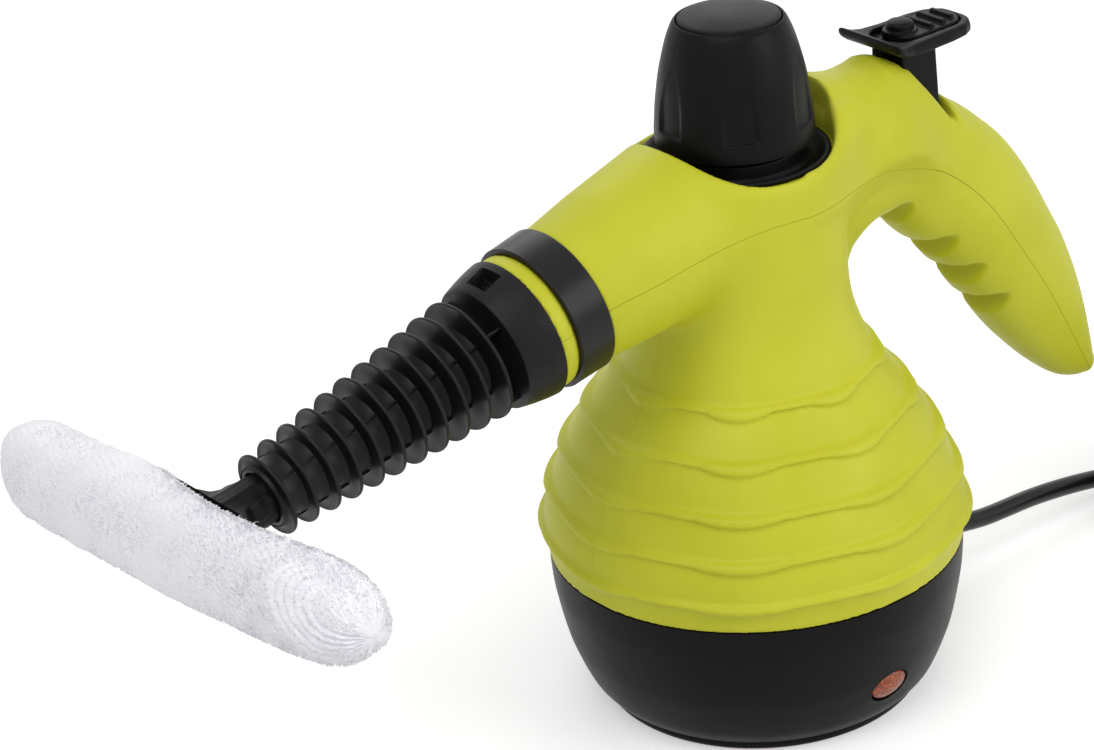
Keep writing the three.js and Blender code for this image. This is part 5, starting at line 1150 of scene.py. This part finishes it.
def make_pile():
    """Loose loops standing off the bonnet: bent three-sided strands rooted at seeded places on it."""
    rng = np.random.default_rng(23)
    count = 13000
    y = rng.uniform(-1, 1, count) * (BONNET["reach"] - 1.5)
    share = rng.uniform(0.002, 0.998, count)
    hemmed = rng.random(count) < 0.18
    near = np.where(rng.random(count) < 0.8, rng.uniform(0, 0.012, count), 1 - rng.uniform(0, 0.012, count))
    share = np.where(hemmed, near, share)
    centre, half = BONNET["opening"]
    y = np.where(hemmed, centre + rng.uniform(-1, 1, count) * half, y)
    root, around, _ = bonnet_shape(y, share)
    clear = gather_share(y, around * BONNET["arc"]) < 0.12
    y, share, root, around = y[clear], share[clear], root[clear], around[clear]
    count = len(y)
    out = np.stack([-np.cos(around), 0.35 * (y / BONNET["reach"]) ** 7, -np.sin(around)], 1)
    out /= np.linalg.norm(out, axis=1)[:, None]
    lean = rng.normal(size=(count, 3)) * 0.6
    lean -= out * (lean * out).sum(1)[:, None]
    loose = loose_share(y, np.minimum(share, 1 - share) * BONNET["girth"])
    tall = (rng.uniform(0.12, 0.3, count) + loose * rng.uniform(0.1, 0.8, count))[:, None]
    side = np.cross(out, lean)
    side /= np.maximum(np.linalg.norm(side, axis=1)[:, None], 1e-9)
    third = np.cross(side, out)
    line = [root - out * 0.5, root + out * tall * 0.55 + lean * 0.18, root + out * tall + lean * 0.6 * tall,
            root + out * 0.75 * tall + lean * 1.15 * tall]
    thick = 0.17
    width = [thick, thick * 1.15, thick, thick * 0.35]
    ring = [(np.cos(t), np.sin(t)) for t in (0, TAU / 3, 2 * TAU / 3)]
    tuft = np.stack([c + w * (a * side + b * third) for c, w in zip(line, width) for a, b in ring], 1)
    block = np.array([[r * 3 + i, r * 3 + (i + 1) % 3, r * 3 + 3 + (i + 1) % 3, r * 3 + 3 + i]
                      for r in range(3) for i in range(3)])
    quads = (block + 12 * np.arange(count)[:, None, None]).reshape(-1, 4)
    loops = put_mesh("bonnet_pile", to_nozzle(tuft.reshape(-1, 3)), quads)
    finish_piece(loops, white_cloth, body="cloth_tool", angle=180, merge=False)


field_piece("tool_bar", tool_field, (-18, -75, 101.5), (12, 75, 156), 0.62 * COARSE, satin_black, "tool_head",
            "cloth_tool", 4, to_nozzle)
make_bonnet()
make_pile()

# Inner and small parts keep their solids' shapes with eased edges: node, width of the ease, finish and body
SMALL = [
    *((f"base_screw_{i}", 0.25, bright_steel) for i in (1, 2, 3)), ("lamp_bulb", 0.3, white_nylon),
    ("boiler_lower", 0.6, cast_aluminium), ("boiler_upper", 0.6, cast_aluminium), ("boiler_gasket", 0.2, soft_rubber),
    *((f"boiler_bolt_{i}", 0.25, bright_steel) for i in (1, 2, 3, 4)), ("filler_neck", 0.25, turned_brass),
    ("heating_element", 0.2, bright_steel), ("thermostat", 0.3, cast_aluminium), ("thermal_fuse", 0.3, white_nylon),
    ("terminal_block", 0.4, white_nylon), ("lead_live", 0.1, brown_sleeve), ("lead_neutral", 0.1, blue_sleeve),
    ("valve_body", 0.3, turned_brass), ("valve_spring", 0.05, bright_steel), ("trigger_spring", 0.05, bright_steel),
    ("inlet_pipe", 0.1, bright_steel), ("steam_pipe", 0.1, bright_steel), ("steam_spigot", 0.3, satin_black),
    ("steam_jet", 0.2, turned_brass), ("cord_clamp", 0.4, satin_black),
    ("valve_pin", 0.2, bright_steel, "valve_pin"), ("cap_gasket", 0.3, soft_rubber, "cap_gasket"),
    ("cap_washer", 0.15, bright_steel, "cap_washer"), ("cap_plug", 0.4, satin_black, "cap_plug"),
    ("cap_spring", 0.08, bright_steel, "cap_plug"), ("relief_spring", 0.05, bright_steel, "cap_plug"),
    ("relief_valve", 0.2, turned_brass, "relief_valve"), ("collar_seal", 0.2, soft_rubber, "collar_seal"),
    ("tool_blade", 0.3, soft_rubber, "cloth_tool"),
]
for row in SMALL:
    softened(*row)

make_housing()


# Studio
def make_studio():
    """Pale floor and surround, lit softly from above the camera, from its right and from behind the object."""
    far = 4000
    floor = put_mesh("studio_floor", [(x * far, y * far, -0.05) for x, y in ((-1, -1), (1, -1), (1, 1), (-1, 1))],
                     [[0, 1, 2, 3]], smooth=False)
    finish = Finish("studio_white", Base_Color=(0.86, 0.86, 0.86, 1), Roughness=0.9, Specular_IOR_Level=0.1)
    plain = Link(finish, finish.shader.outputs[0])
    bright = finish.node("ShaderNodeEmission", None, {"Color": (1, 1, 1, 1), "Strength": 0.42})
    both = finish.node("ShaderNodeAddShader", None, {0: plain, 1: bright})
    surface = finish.node("ShaderNodeMixShader", None, {0: finish.seen(), 1: plain, 2: both})
    finish.tree.links.new(surface.socket, finish.tree.nodes["Material Output"].inputs[0])
    dress(floor, finish.material)

    world = bpy.data.worlds.new("studio")
    bpy.context.scene.world = world
    world.use_nodes = True
    sky = Nodes(world.node_tree)
    sky.tree.nodes.clear()
    soft, white = (sky.node("ShaderNodeBackground", None, {"Color": (1, 1, 1, 1), "Strength": strength})
                   for strength in (0.4, 1.0))
    surround = sky.node("ShaderNodeMixShader", None, {0: sky.seen(), 1: soft, 2: white})
    sky.tree.links.new(surround.socket, sky.tree.nodes.new("ShaderNodeOutputWorld").inputs[0])

    for name, place, size, power in (("key_lamp", (0.9, 0.5, 1.7), 1.3, 14), ("side_lamp", (-0.7, 1.5, 0.9), 1.1, 11),
                                     ("rim_lamp", (-0.9, -1.2, 1.3), 1.2, 7)):
        data = bpy.data.lights.new(name, "AREA")
        data.size, data.energy = size, power
        lamp = bpy.data.objects.new(name, data)
        lamp.location = place
        lamp.rotation_euler = (Vector((0, 0, 0.12)) - Vector(place)).to_track_quat("-Z", "Y").to_euler()
        bpy.context.collection.objects.link(lamp)
    bpy.context.scene.view_settings.view_transform = "Standard"


make_studio()
